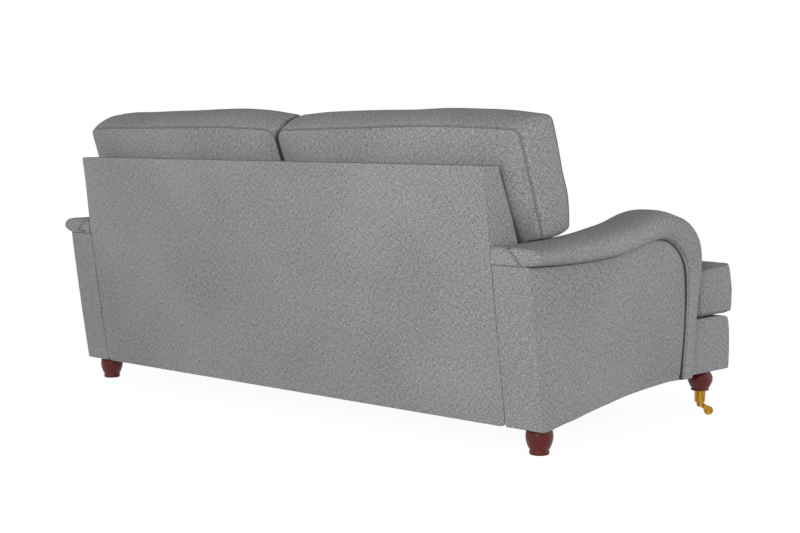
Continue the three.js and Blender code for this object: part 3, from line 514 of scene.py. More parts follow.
# The square-cornered L, its boxing drawn up from it, its two seams marked
def cushionBlank(shape):
    across = gridLines(shape, ["inner", "body", "ear"])
    alongLines = gridLines(shape, ["low", "earLow", "high"])
    bm = bmesh.new()
    bmesh.ops.create_grid(bm, x_segments=len(across) - 1, y_segments=len(alongLines) - 1, size=1)
    for vertex in bm.verts:
        i = round((vertex.co.x + 1) / 2 * (len(across) - 1))
        j = round((vertex.co.y + 1) / 2 * (len(alongLines) - 1))
        vertex.co = (across[i], alongLines[j], 0)
    notch = [f for f in bm.faces if f.calc_center_median().x > shape["body"]
             and f.calc_center_median().y < shape["earLow"]]
    bmesh.ops.delete(bm, geom=notch, context="FACES")
    drawOut(bm, (0, 0, shape["thick"]))
    walls, rims = blockEdges(bm, shape["thick"])
    for edge in rims:
        edge.seam = True
    bmesh.ops.subdivide_edges(bm, edges=walls, cuts=round(shape["thick"] / shape["step"]) - 1,
                              use_grid_fill=True)
    bmesh.ops.recalc_face_normals(bm, faces=bm.faces)
    return bm


# Where a point of the blank lies once the cushion is sewn, in its own across, along and depth
def sewnPlace(shape, form, p):
    share = p.z / shape["thick"]

    def at(key):
        return mix(*form[key], share)

    inner, body, ear, low, under = (at(key) for key in ("inner", "body", "ear", "low", "earUnder"))
    top = mix(form["crest"][0][8], form["crest"][1][8], share)
    outward = max(0.0, (p.x - shape["body"]) / (shape["ear"] - shape["body"]))
    if p.x < shape["body"]:
        a = mix(inner, body, (p.x - shape["inner"]) / (shape["body"] - shape["inner"]))
    else:
        a = mix(body, ear, outward)
    upEar = (under - low) / (top - low)
    if p.y < shape["earLow"]:
        up = mix(0, upEar, (p.y - shape["low"]) / (shape["earLow"] - shape["low"]))
    else:
        up = mix(upEar, 1, (p.y - shape["earLow"]) / (shape["high"] - shape["earLow"]))
    b = mix(low, top, up)
    corners = [
        (inner, low, 1, 1, at("lowRadius")), (body, low, -1, 1, at("lowRadius")),
        (ear, under, -1, 1, at("lowRadius")), (ear, top, -1, -1, at("topRadius")),
        (inner, top, 1, -1, at("innerRadius")),
    ]
    for cornerA, cornerB, inA, inB, radius in corners:
        a, b = roundCorner(a, b, cornerA, cornerB, inA, inB, radius)
    place = 8 * min(max((a - inner) / (ear - inner), 0), 1)
    crest = [curveAt([[c] for c in line], place)[0] for line in form["crest"]]
    rise = max(0.0, (b - low) / (top - low))
    lift = (mix(*crest, share) - top) * rise
    if outward > 0:
        height = min(max((b - under) / (top - under), 0), 1)
        lift += (at("earTip") - under) * smoothStep(outward, 0, 1) * (1 - height)
        sags = [curveAt([[s] for s in form[key]], 6 * height)[0] for key in ("rearSag", "sag")]
        a += mix(*sags, share) * outward
    return Vector((a, b + lift, p.z))


# How far the filling lifts a face at a point of the blank, as a share of the crown's height
def crownShare(shape, p, reach):
    toNotch = math.hypot(max(0, shape["body"] - p.x), max(0, p.y - shape["earLow"]))
    distances = [p.x - shape["inner"], p.y - shape["low"], shape["high"] - p.y, toNotch]
    share = 1.0
    for distance, full in [(d, 0.85) for d in distances] + [(shape["ear"] - p.x, shape["earFull"])]:
        share *= (1 - (1 - min(max(distance / reach, 0), 1)) ** 2.2) ** full
    return share


clothFilling = {
    "quality": 6, "mass": 0.4, "tension_stiffness": 20, "compression_stiffness": 20,
    "shear_stiffness": 8, "bending_stiffness": 0.8, "air_damping": 4, "use_pressure": True,
    "uniform_pressure_force": 4, "vertex_group_mass": "held",
}
fillingSteps = 20


# The filling pushes the cloth out between its sewn edges: a cloth simulation with the seams held
def puffedPoints(bm, shape):
    mesh = bpy.data.meshes.new("blank")
    bm.to_mesh(mesh)
    mesh.transform(Matrix.Scale(toMetres, 4))
    blank = addObject("blank", mesh)
    held = blank.vertex_groups.new(name="held")
    held.add(sorted({i for e in mesh.edges if e.use_seam for i in e.vertices}), 1.0, "REPLACE")
    cloth = blank.modifiers.new("cloth", "CLOTH")
    for key, value in clothFilling.items():
        setattr(cloth.settings, key, value)
    cloth.settings.shrink_min = -shape["loose"]
    cloth.settings.effector_weights.gravity = 0
    cloth.collision_settings.use_collision = False
    cloth.point_cache.frame_end = fillingSteps
    for step in range(1, fillingSteps + 1):
        scene.frame_set(step)
    filled = blank.evaluated_get(bpy.context.evaluated_depsgraph_get())
    moved = [v.co / toMetres for v in filled.to_mesh().vertices]
    filled.to_mesh_clear()
    bpy.data.objects.remove(blank)
    bpy.data.meshes.remove(mesh)
    scene.frame_set(1)
    return moved


# Lumps in the filling: size across, along and deep, a shift for each cushion, and strength
fillingLumps = [(190, 150, 90, 7.3, 1.0), (75, 90, 60, 3.1, 0.5)]
simulatedShare = 0.4  # the rest of the filled shape is the crown and bulge that its numbers give


def fillCushion(bm, shape, form, seed):
    flat = [v.co.copy() for v in bm.verts]
    thick = shape["thick"]
    shifts = None
    shifts = [moved - start for moved, start in zip(puffedPoints(bm, shape), flat)]
    rose = {
        "low": max(-s.z for s, p in zip(shifts, flat) if p.z < 0.01),
        "high": max(s.z for s, p in zip(shifts, flat) if p.z > thick - 0.01),
    }
    onSide = max(math.hypot(s.x, s.y) for s, p in zip(shifts, flat) if 1 < p.z < thick - 1)
    print("  filling rose", [round(x, 1) for x in (*rose.values(), onSide)])
    for vertex, start in zip(bm.verts, flat):
        vertex.co = sewnPlace(shape, form, start)
    bm.normal_update()
    outward = [v.normal.copy() for v in bm.verts]
    for k, (vertex, start) in enumerate(zip(bm.verts, flat)):
        lump = shape["lump"] * sum(
            strength * noise.noise(Vector((start.x / across, start.y / along,
                                           seed * shift + start.z / deep)))
            for across, along, deep, shift, strength in fillingLumps)
        if 0.01 <= start.z <= thick - 0.01:
            share = math.sin(math.pi * start.z / thick) ** 0.8
            if shifts:
                side = math.hypot(shifts[k].x, shifts[k].y) / onSide
                share = mix(share, side, simulatedShare)
            way = Vector((outward[k].x, outward[k].y, 0)).normalized()
            vertex.co += way * (shape["bulge"] * share + 0.5 * lump * share)
            continue
        face, up = ("low", -1) if start.z < 0.01 else ("high", 1)
        share = crownShare(shape, start, shape[face + "Reach"])
        if shifts:
            share = mix(share, max(0.0, up * shifts[k].z / rose[face]), simulatedShare)
        vertex.co.z += up * (shape[face + "Crown"] * share + lump * min(share, 0.6))


# The sewn edges: a low ridge of turned-in cloth between two grooves, with painted shade in the
# grooves
def sewSeams(bm):
    samples = []
    for edge in bm.edges:
        if edge.seam:
            a, b = (v.co for v in edge.verts)
            count = max(1, int((b - a).length / seamDetail["spacing"]))
            samples += [a.lerp(b, i / count) for i in range(count)]
    bevelEdges(bm, [e for e in bm.edges if e.seam], seamDetail["reach"], seamDetail["segments"])
    surface = BVHTree.FromBMesh(bm)
    tree = kdtree.KDTree(len(samples))
    for i, point in enumerate(samples):
        tree.insert(surface.find_nearest(point)[0], i)
    tree.balance()
    bm.normal_update()
    layer = shadeLayer(bm)
    for vertex in bm.verts:
        distance = tree.find(vertex.co)[2]
        if distance < seamDetail["far"]:
            groove = hump(distance - seamDetail["line"], seamDetail["width"])
            ridge = hump(distance, seamDetail["ridgeWidth"])
            vertex.co += vertex.normal * (
                seamDetail["ridge"] * ridge - seamDetail["depth"] * groove)
            vertex[layer] = seamDetail["shade"] * groove


# The seat's top seam sags on the ear, from its front back to the arm
earSag = {"depth": 11.0, "front": 501.0, "run": 166.0, "inner": 800.0, "across": 60.0}


def seatPlace(p):
    toArm = min(max((earSag["front"] - p.y) / earSag["run"], 0), 1)
    toArm *= min(max((p.x - earSag["inner"]) / earSag["across"], 0), 1)
    sag = earSag["depth"] * toArm * max(p.z / seatCushion["thick"], 0)
    return Vector((p.x, -p.y, p.z + seatCushion["under"] - sag))


def backPlace(p):
    depth = p.z + backCushion["under"]
    lean = math.radians(sofa["insideRake"])
    return Vector((
        p.x,
        insideY(sofa["seatTop"]) + p.y * math.sin(lean) - depth * math.cos(lean),
        sofa["seatTop"] + p.y * math.cos(lean) + depth * math.sin(lean),
    ))


# The cloth is cut from one length, so its weave lies along the cushion's own directions
def weaveCushion(bm):
    bm.normal_update()
    weave = bm.loops.layers.uv.new("weave")
    for face in bm.faces:
        size = [abs(c) for c in face.normal]
        for loop in face.loops:
            p = loop.vert.co
            if size[2] > 0.6:
                uv = (p.x, p.y)
            elif size[0] > size[1]:
                uv = (p.y, p.z + 400)
            else:
                uv = (p.x, p.z + 800)
            loop[weave].uv = (uv[0] * toMetres, uv[1] * toMetres)


# Where the arm's roll runs, from the rear round its nose and down the front: seam y and z, top y
# and z, share of the overhang, and how much of a front band the section is (0 the roll, 1 the band)
armRows = [
    [483, 497, 489, 545, 1.35, 0], [395, 495, 400, 547, 1.1, 0], [290, 494, 290, 554, 1, 0],
    [181, 498, 181, 563, 1, 0], [92, 505, 92, 576, 1, 0], [-1, 523, 8, 590, 1, 0],
    [-72, 535, -72, 611, 1, 0.05], [-121, 533, -128, 615, 1, 0.1],
    [-160, 519, -188, 603, 1, 0.2], [-189, 499, -238, 589, 0.95, 0.35],
    [-208, 478, -277, 565, 0.9, 0.5], [-220, 453, -309, 532, 0.7, 0.7],
    [-226, 422, -325, 487, 0.5, 0.85], [-229, 370, -324, 420, 0.25, 1],
    [-227, 318, -308, 345, 0.2, 1], [-224, 262, -302, 272, 0.2, 1],
    [-217, 196, -294, 197, 0.2, 1], [-212, 131, -285, 129, 0.2, 1],
]
# What keeps the cushions off the frame and each other. Cloth nearer than pinch to the other cushion
# gets painted shade, up to pinchShade over pinchRun.
room = {
    "clear": 0.8, "armClear": 1.0, "rollClear": 1.2, "seatApart": 1.2, "backApart": 4.2,
    "contact": (19.0, 2.5), "pinch": {"seat": 5.5, "back": 9.5}, "pinchRun": 4, "pinchShade": 0.9,
}
# The roll's top along the arm, and how much of its height it has across the arm
rollTops = [row[2:4] for row in reversed(armRows[:12])]
rollCross = [[815, 0.3], [822, 0.55], [832, 0.74], [846, 0.88], [868, 0.975], [900, 1.0],
             [1010, 1.0]]


# Each keeps a cushion's point in the room it has, and gives its distance from the other cushion
def seatRoom(p):
    p.z = max(p.z, sofa["deck"] + room["clear"])
    p.x = max(p.x, room["seatApart"])
    p.y = min(p.y, insideY(p.z) - room["clear"])
    if p.y > armFrontY(p.z) - room["clear"]:
        p.x = min(p.x, sofa["armInner"] - room["armClear"])
    return p, p.x


# Reads rows of place and value straight from one to the next
def stepCurve(rows, value):
    if value <= rows[0][0]:
        return rows[0][1]
    for (low, first), (high, second) in zip(rows, rows[1:]):
        if value <= high:
            return mix(first, second, (value - low) / (high - low))
    return rows[-1][1]


# The height of the arm's roll under a point on top of it
def armTopZ(p):
    seamZ = armRows[0][1]
    return seamZ + (stepCurve(rollTops, p.y) - seamZ) * stepCurve(rollCross, p.x)


# The two back cushions press together along a slanting plane near the middle of the sofa
def backRoom(p, side):
    lean = math.radians(sofa["insideRake"])
    depth = (insideY(sofa["seatTop"]) - p.y) * math.cos(lean)
    depth += (p.z - sofa["seatTop"]) * math.sin(lean)
    through = min(max((depth - backCushion["under"]) / backCushion["thick"], -0.2), 1.2)
    contact = mix(*room["contact"], through) * sides[side]
    p.z = max(p.z, sofa["seatTop"] + room["clear"])
    p.x = max(p.x, contact + room["backApart"])
    if p.z < sofa["backTop"] + 6:
        p.y = min(p.y, insideY(min(p.z, sofa["backTop"])) - 1.0)
    overArm = p.x - (sofa["armInner"] - room["armClear"])
    if overArm > 0:
        under = armTopZ(p) + room["rollClear"] - p.z
        if under > overArm:
            p.x -= overArm
        elif under > 0:
            p.z += under
    return p, p.x - contact


# A closed zip in the hidden boxing, laid on the filled cushion: tape, and the row of teeth on it.
# A line from each point at, along way, finds the cushion. The rows are the height across the tape.
zips = {
    "seat": {"way": Vector((0, -1, 0)), "at": lambda x, across: Vector((x, 600, 372 + across))},
    "back": {"way": Vector((0, 0, 1)), "at": lambda x, across: Vector((x, 250 + across, 200))},
}
zipLine = {"start": 162, "end": 642, "points": 81, "wall": 1.2}
zipRows = {-6: 0.5, -3: 0.6, -2.4: 1.2, -1: 1.8, 1: 1.8, 2.4: 1.2, 3: 0.6, 6: 0.5}


def makeZip(kind, bm, side):
    surface = BVHTree.FromBMesh(bm)
    way, start = zips[kind]["way"], zips[kind]["at"]

    def place(x, across):
        return surface.ray_cast(start(x, across), way)[0] - way * zipRows[across]

    along = [mix(zipLine["start"], zipLine["end"], s) for s in spread(zipLine["points"])]
    strip = sheetGrid(along, list(zipRows), place)
    faceOutwards(strip, Vector((400, 2000, -2000)))
    body = f"{kind}_cushion_{side}"
    finishPiece(f"{body}_zip", strip, [f"{kind}_cushion_zip_{side}"], side, body, "zip_tape",
                subdivide=0, thickness=zipLine["wall"])


def makeCushion(kind, side, shape, form, seed, place, keepIn):
    bm = cushionBlank(shape)
    fillCushion(bm, shape, form, seed)
    sewSeams(bm)
    weaveCushion(bm)
    layer = shadeLayer(bm)
    for vertex in bm.verts:
        vertex.co, apart = keepIn(place(vertex.co))
        # Painted shade on cloth pressed close to the other cushion
        pinched = min(max((room["pinch"][kind] - apart) / room["pinchRun"], 0), 1)
        vertex[layer] = max(vertex[layer], room["pinchShade"] * pinched)
    faceOutwards(bm, Vector((400, 0, 5000)))
    makeZip(kind, bm, side)
    body = f"{kind}_cushion_{side}"
    nodes = [f"{kind}_cushion_cover_{side}", f"{kind}_cushion_core_{side}"]
    piece = finishPiece(f"{body}_filled", bm, nodes, side, body)


for side, way in sides.items():
    makeCushion("seat", side, seatCushion, seatForm, 1 + way, seatPlace, seatRoom)
    makeCushion("back", side, backCushion, backForms[side], 4 + way, backPlace,
                lambda p: backRoom(p, side))
print("cushions made")

# Sections of the roll, its rear end and the band, as shares across and up, from the outside seam
rollShape = [
    [0.838, 0], [0.93, 0.05], [0.985, 0.2], [1, 0.42], [0.975, 0.66], [0.9, 0.86], [0.76, 0.97],
    [0.56, 1], [0.35, 0.985], [0.16, 0.86], [0.04, 0.6], [0, 0.3],
]
rearShape = [
    [0.79, 0], [0.93, 0.08], [0.98, 0.25], [1, 0.45], [0.975, 0.66], [0.92, 0.82], [0.82, 0.92],
    [0.66, 0.99], [0.45, 1], [0.2, 0.97], [0.06, 0.8], [0, 0.4],
]
bandShape = [
    [0.99, 0], [1, 0.12], [1, 0.38], [0.99, 0.64], [0.955, 0.85], [0.87, 0.97], [0.62, 1],
    [0.38, 1], [0.13, 0.97], [0.045, 0.85], [0.01, 0.64], [0, 0.35],
]
armRoll = {
    "columns": 130, "rows": 46, "capSteps": 24, "turnSteps": 7, "capRadius": 15.0,
    "seamRows": [0.0, 1.2, 3.0, 5.5, 8.0, 9.5, 11.0, 14.0, 19.0], "turnIns": [16.0, 5.0],
    "stitch": 9.5, "stitchDepth": 1.5, "shade": 0.8, "wall": 3.0,
    "foot": -236.0, "behindBack": 24.0, "behindCap": 26.0, "hemY": -250.0, "hemX": 895.0,
}
# The gathered cap on the roll's rear end: the line of its pleats, in x and z, and for each side the
# crease beside the back: width, depth and painted shade
pleats = {
    "left": [(868, 541), (900, 530), (925, 505), (890, 500)],
    "right": [(897, 552), (909, 542), (932, 517), (948, 499)],
}
crease = {"left": (7.0, 6.0, 0.75), "right": (2.5, 0.0, 0.0)}
# The pleats' groove: depth and width, and the painted shade in it and its width
pleatCut = {"depth": 3.2, "width": 3.6, "shade": 0.85, "shadeWidth": 2.4}
farOff = 99.0  # further than any seam or fold reaches


def rollSection(place):
    seamY, seamZ, topY, topZ, over, band = curveAt(armRows, place)
    rear = 1 - smoothStep(place, 0, 1.6)
    shape = [
        [mix(mix(r[0], b[0], band), e[0], rear), mix(mix(r[1], b[1], band), e[1], rear)]
        for r, b, e in zip(rollShape, bandShape, rearShape)
    ]
    side = mix(sofa["panel"], sofa["band"], smoothStep(band, 0.2, 0.9))
    width = side - sofa["armInner"] + sofa["overhang"] * max(0.0, over) * (1 - 0.8 * band)
    line = [[sofa["armInner"] + across * width, mix(seamY, topY, up), mix(seamZ, topZ, up)]
            for across, up in shape]
    line[0][0] = side
    last = line[-1]
    foot = [sofa["armInner"], max(seamY, armRoll["foot"]), min(sofa["deck"] - 3, last[2])]
    if last[2] < sofa["deck"] + 6:
        foot[1] = last[1] + 20
    line += [[mix(p, q, share) for p, q in zip(last, foot)] for share in (0.33, 0.66, 1)]
    traced = tracedCurve(line, 10)
    near = armRoll["seamRows"]
    rest = armRoll["rows"] - len(near)
    goals = near + [mix(near[-1], traced[1][-1], (k + 1) / rest) for k in range(rest)]
    points = [Vector(p) for p in pointsAlong(traced, goals)]
    turned = [points[0] - Vector((turn, 0, 0)) for turn in armRoll["turnIns"]]
    return turned + points, goals, band


# The column and row that sheetGrid left on a vertex
def spotOf(bm, vertex):
    return vertex[bm.verts.layers.int["column"]], vertex[bm.verts.layers.int["row"]]


def armRollMesh(side):
    edge = backEdge[side]
    steps, turns, capSteps = armRoll["columns"], armRoll["turnSteps"], armRoll["capSteps"]
    traced = [rollSection((len(armRows) - 1) * i / steps) for i in range(steps + 1)]
    sections = [t[0] for t in traced]
    goals, lead = traced[0][1], len(armRoll["turnIns"])
    first = sections[0]
    radii, outward = [], []
    for j in range(len(first)):
        radii.append(mix(5.0, armRoll["capRadius"], smoothStep(goals[max(j - lead, 0)], 0, 25)))
        run = first[min(max(j, lead) + 1, len(first) - 1)] - first[max(j - 1, lead)]
        outward.append(Vector((run.z, 0, -run.x)).normalized())
    outward[lead] = outward[lead - 1] = outward[0] = Vector((1, 0, 0))
    for point, radius in zip(first, radii):
        point.y = rearY(point.z) - radius
    block = next(j for j in range(lead + 12, len(first)) if first[j].x < edge - 1)

    # The gathered cloth over the roll's rear end, down to the seam of the arm's rear face
    def capPlace(k, j):
        turn = min(k / turns, 1) * math.pi / 2
        point = first[j] - outward[j] * radii[j] * (1 - math.cos(turn))
        point.y = rearY(point.z) - radii[j] * (1 - math.sin(turn))
        if j > block:
            point.y -= armRoll["behindCap"]
            return point
        if k > turns:
            share = min((k - turns) / (capSteps - turns), 1)
            along = goals[max(j - lead, 0)] / goals[block - lead]
            seam = Vector((mix(sofa["panel"] - 5, edge - 4, along), 0, 497.0))
            point = point.lerp(seam, share)
            point.y = rearY(point.z) + 2.2 * math.sin(math.pi * share) * math.sin(math.pi * along)
        if j < lead:
            point.y -= armRoll["turnIns"][j]
        if k > capSteps:
            point -= Vector((0, 9, 2.5))
        return point

    def place(i, j):
        if i < 0:
            return capPlace(-i, j)
        point = sections[min(i, steps)][j].copy()
        if i > steps:  # the hem, turned in
            centre = Vector((armRoll["hemX"], armRoll["hemY"], point.z))
            return point.lerp(centre, 0.06 * (i - steps)) + Vector((0, 0, i - steps))
        if point.x < edge - 1:
            point.y = min(point.y, rearY(point.z) - armRoll["behindBack"])
        return point

    columns = list(range(-capSteps - 1, steps + 3))
    bm = sheetGrid(columns, list(range(len(first))), place)
    faceOutwards(bm, Vector((1400, 0, 560)))
    layer = shadeLayer(bm)
    folds = [Vector((x, rearY(z), z)) for x, z in pleats[side]]
    width, sunk, dark = crease[side]
    for vertex in bm.verts:
        i, j = spotOf(bm, vertex)
        column, distance = columns[i], goals[max(j - lead, 0)]
        band = traced[min(max(column, 0), steps)][2]
        # Painted shade on the seam, on the band's second stitch, in the pleats and in the crease by
        # the back
        stitch = hump(distance - armRoll["stitch"], 1.3) * smoothStep(band, 0.15, 0.5)
        depth = armRoll["stitchDepth"] * stitch
        shade = max(armRoll["shade"] * hump(distance, 1.6), 0.6 * stitch)
        if column < 0 and lead <= j < block:
            spot = Vector((vertex.co.x, rearY(vertex.co.z), vertex.co.z))
            feet = [geometry.intersect_point_line(spot, p, q) for p, q in zip(folds, folds[1:])]
            near = min((spot - foot).length if 0 <= t <= 1 else farOff for foot, t in feet)
            beside = hump(vertex.co.x - edge, width)
            depth += pleatCut["depth"] * hump(near, pleatCut["width"]) + sunk * beside
            foldShade = pleatCut["shade"] * hump(near, pleatCut["shadeWidth"])
            shade = max(shade, foldShade, dark * beside)
        vertex.co -= vertex.normal * depth
        vertex[layer] = shade
    weave = bm.loops.layers.uv["weave"]
    for face in bm.faces:
        if all(columns[spotOf(bm, v)[0]] <= -turns for v in face.verts):
            for loop in face.loops:
                loop[weave].uv = (loop.vert.co.x * toMetres, loop.vert.co.z * toMetres)
    return bm


backEdge = {"left": 858.0, "right": 850.0}  # where the back's block ends over each arm
for side in sides:
    piece = finishPiece(f"arm_roll_{side}", armRollMesh(side),
                        [f"arm_cover_{side}", f"arm_pad_{side}"], side, thickness=armRoll["wall"])
print("arm rolls made")

# The arm's top rail, sawn to the roll's line and rounded at its nose under the padding
topRail = {
    "top": [(478, 496.5), (455, 495.5), (390, 494.3), (286, 494.3), (178, 497.9), (91, 505.2),
            (0, 521.5), (-76, 533), (-262, 533), (-286, 530), (-302, 522), (-311, 511)],
    "bottom": [(-313, 507), (-76, 507), (-4, 496.7), (90.6, 479.2), (177, 471.9), (284.5, 468.3),
               (389, 468.3), (452, 469.5), (475, 470.7)],
    "inner": 850.6, "outer": 954.6, "bevel": 2.0,
}
for side in sides:
    bm = bmesh.new()
    outline = topRail["top"] + topRail["bottom"]
    bm.faces.new([bm.verts.new((topRail["inner"], y, z)) for y, z in outline])
    drawOut(bm, (topRail["outer"] - topRail["inner"], 0, 0))
    bmesh.ops.recalc_face_normals(bm, faces=bm.faces)
    rims = [e for e in bm.edges if abs(e.verts[0].co.x - e.verts[1].co.x) < 1]
    bevelEdges(bm, rims, topRail["bevel"], 2)
    rail = finishPiece(f"arm_rail_sawn_{side}", bm, [f"arm_top_rail_{side}"], side,
                       slot="frame_timber", subdivide=0)
    for polygon in rail.data.polygons:
        polygon.use_smooth = False

# The flat panel on the arm's outside and rear, from the roll's seam down to the hem
panelSeam = evenPoints([[469, 497], *[r[:2] for r in armRows[1:13]], [-228, 408]], 90)
panelHem = evenPoints([
    [425, 70], [379, 69], [345, 71.5], [303, 80.5], [260, 88.7], [216, 96], [172, 102.2],
    [127, 108.4], [81.5, 114.7], [35, 120.2], [-12.6, 124.3], [-60.6, 127.6], [-110, 130.5],
    [-160, 132.8], [-212, 131]], 90)
outsidePanel = {
    "corner": 5.0, "lip": 3.5, "lipWidth": 6.0, "pillow": 1.6, "shade": 0.85, "shadeWidth": 1.8,
    "wall": 2.5, "frontBow": 9.0,
    "hemTurns": [(24.0, 1.5), (11.0, 1.0), (3.0, 0.0)], "topTurns": [(6.0, 0.5), (16.0, 2.0)],
}


def panelMesh(edge):
    corner = outsidePanel["corner"]
    rearSteps, turnSteps = 14, 5
    lastSeam = len(panelSeam) - 1
    columns = [("rear", x) for x in (edge + 0.5, edge + 1.5, edge + 3, edge + 5)]
    columns += [("rear", mix(edge + 8, sofa["panel"] - corner, k / rearSteps))
                for k in range(rearSteps)]
    columns += [("turn", k / turnSteps * math.pi / 2) for k in range(turnSteps)]
    columns += [("side", k) for k in range(lastSeam + 1)]
    # Each row: how far it is turned in and up, its share of the height, and a step off that
    rows = [(turned, 0.0, 0.0) for turned in outsidePanel["hemTurns"]]
    rows += [(None, 0.0, up) for up in (0, 1.5, 3.5, 8)]
    rows += [(None, mix(0.04, 0.95, k / 26), 0.0) for k in range(27)]
    rows += [(None, 1.0, -down) for down in (14, 9, 6, 4, 2.5, 1.2, 0)]
    rows += [(turned, 1.0, 0.0) for turned in outsidePanel["topTurns"]]

    def place(column, row):
        kind, value = column
        turned, share, offset = row
        if kind == "side":
            low, high = Vector((0, *panelHem[value])), Vector((0, *panelSeam[value]))
            point = low.lerp(high, share) + (high - low).normalized() * offset
            point.y = mix(point.y, rearY(point.z) - corner, 1 - min(value / 20, 1))
            point.x = sofa["panel"]
            bow = outsidePanel["frontBow"] * smoothStep(value, 55, lastSeam)
            point.y -= bow * math.sin(math.pi * share)
            away = Vector((1, 0, 0))
        else:
            z = mix(sofa["rearHem"], panelSeam[0][1], share) + offset
            turn = value if kind == "turn" else 0.0
            point = Vector((sofa["panel"] - corner * (1 - math.sin(turn)),
                            rearY(z) - corner * (1 - math.cos(turn)), z))
            away = Vector((math.sin(turn), math.cos(turn), 0))
            if kind == "rear":
                point.x = value
        if turned:
            return point - away * turned[0] + Vector((0, 0, turned[1]))
        near = min(-offset if share == 1.0 else farOff, value - edge if kind == "rear" else farOff,
                   (lastSeam - value) * 10.0 if kind == "side" else farOff)
        lip = outsidePanel["lip"] * max(0.0, 1 - near / outsidePanel["lipWidth"]) ** 2
        hem = 1.2 * max(0.0, 1 - offset / 3) if share == 0.0 else 0.0
        return point + away * (outsidePanel["pillow"] * math.sin(math.pi * share) - lip - hem)

    bm = sheetGrid(columns, rows, place)
    # Painted shade along its top and front seams and its edge against the back
    layer = shadeLayer(bm)
    for vertex in bm.verts:
        i, j = spotOf(bm, vertex)
        near = min(-rows[j][2] if rows[j][1] == 1.0 else farOff,
                   columns[i][1] - edge if columns[i][0] == "rear" else farOff,
                   0.0 if columns[i] == ("side", lastSeam) else farOff)
        vertex[layer] = outsidePanel["shade"] * hump(near, outsidePanel["shadeWidth"])
    return bm


for side in sides:
    bm = panelMesh(backEdge[side])
    faceOutwards(bm, Vector((1400, 0, 300)))
    finishPiece(f"outside_arm_panel_{side}", bm, [f"outside_arm_cover_{side}"], side,
                thickness=outsidePanel["wall"])
print("arm panels made")

# The back: a padded block between the arms, and the flat panel sewn over its rear
backPad = {"half": 850.0, "corner": 8.0, "step": 26.0, "bevel": 5.0, "rearBevel": 2.5, "gap": 0.4}
backPanel = {"thick": 6.0, "bevel": 2.4, "inner": 1.0}
armFlare = {"under": 700.0, "run": 190.0, "across": 90.0}  # the block widens over the left arm


def slabMesh(low, high, rearAt, frontAt, rearBevel, frontBevel, cuts):
    half, step = backPad["half"], backPad["step"]
    wide, tall = round(2 * half / step), round((high - low) / step)
    bm = bmesh.new()
    bmesh.ops.create_grid(bm, x_segments=wide, y_segments=tall, size=1)
    for vertex in bm.verts:
        vertex.co = (vertex.co.x * half, mix(low, high, (vertex.co.y + 1) / 2), 0)
    corners = [v for v in bm.verts if abs(v.co.x) > half - 1 and v.co.y > high - 1]
    drawOut(bm, (0, 0, 1))
    upright = [e for e in blockEdges(bm, 1)[0] if any(v in corners for v in e.verts)]
    bevelEdges(bm, upright, backPad["corner"], 4)
    walls, rims = blockEdges(bm, 1)
    rearRim = [e for e in rims if e.verts[0].co.z < 0.5]
    frontRim = [e for e in rims if e.verts[0].co.z > 0.5]
    bmesh.ops.subdivide_edges(bm, edges=walls, cuts=cuts, use_grid_fill=True)
    for vertex in bm.verts:
        x, z, depth = vertex.co
        vertex.co = (x, mix(rearAt(z), frontAt(x, z), depth), z)
        if x > 0:
            flare = smoothStep(armFlare["under"] - z, 0, armFlare["run"])
            flare *= smoothStep(x, half - armFlare["across"], half)
            vertex.co.x += (backEdge["left"] - half) * flare
    bmesh.ops.recalc_face_normals(bm, faces=bm.faces)
    bevelEdges(bm, rearRim, rearBevel, 3)
    bevelEdges(bm, frontRim, frontBevel, 3)
    return bm


# The inside face is fuller toward its two ends, below the top edge
endFullness = {"depth": 6.5, "from": 800.0, "to": 842.0, "under": 735.0, "run": 110.0}


def insideFace(x, z):
    out = smoothStep(abs(x), endFullness["from"], endFullness["to"])
    down = smoothStep(endFullness["under"] - z, 0, endFullness["run"])
    return insideY(z) - endFullness["depth"] * out * down


bm = slabMesh(sofa["deck"] - 3, sofa["backTop"],
              lambda z: rearY(z) - backPanel["thick"] - backPad["gap"], insideFace,
              backPad["rearBevel"], backPad["bevel"], 3)
boxWeave(bm)
insideBack = finishPiece("inside_back_padded", bm, ["inside_back_cover", "back_pad"])
bm = slabMesh(sofa["backHem"], sofa["backTop"], rearY, lambda x, z: rearY(z) - backPanel["thick"],
              backPanel["bevel"], backPanel["inner"], 1)
boxWeave(bm)
finishPiece("outside_back_panel", bm, ["outside_back_cover"])
print("back made")

# The upholstered front border, which runs on over the deck's front edge as its lip. Its line is how
# far it lies in from the front, and its height.
border = {"half": 950.0, "front": -511.0, "radius": 15.0, "lipFrom": 280.0, "wall": 2.5}
borderLine = [[20, 131.5], [9, 131], [2.5, 130.5], [0, 133.5], [-0.3, 145], [-0.8, 175],
              [-0.8, 210], [0, 240], [1.5, 262], [6, 277], [14, 286], [28, 290], [60, 290.2],
              [100, 290.2], [150, 290.2], [214, 290.2]]


def borderPlace(column, row):
    kind, hand, share = column
    inset, z = row
    radius = max(border["radius"] - inset, 0.4)
    front = border["front"] + inset
    half = border["half"] - inset * smoothStep(289 - z, -1, 30)
    if z > border["lipFrom"]:
        half = border["half"] - min(inset, 6)
    rear = armFrontY(z) - 0.8
    middle = min(front + radius, rear - 0.1)
    if kind == "front":
        return Vector((mix(radius - half, half - radius, share), front, z))
    if kind == "side":
        return Vector((hand * half, mix(rear, middle, share), z))
    turn = share * math.pi / 2
    return Vector((hand * (half - radius * (1 - math.cos(turn))),
                   front + radius * (1 - math.sin(turn)), z))


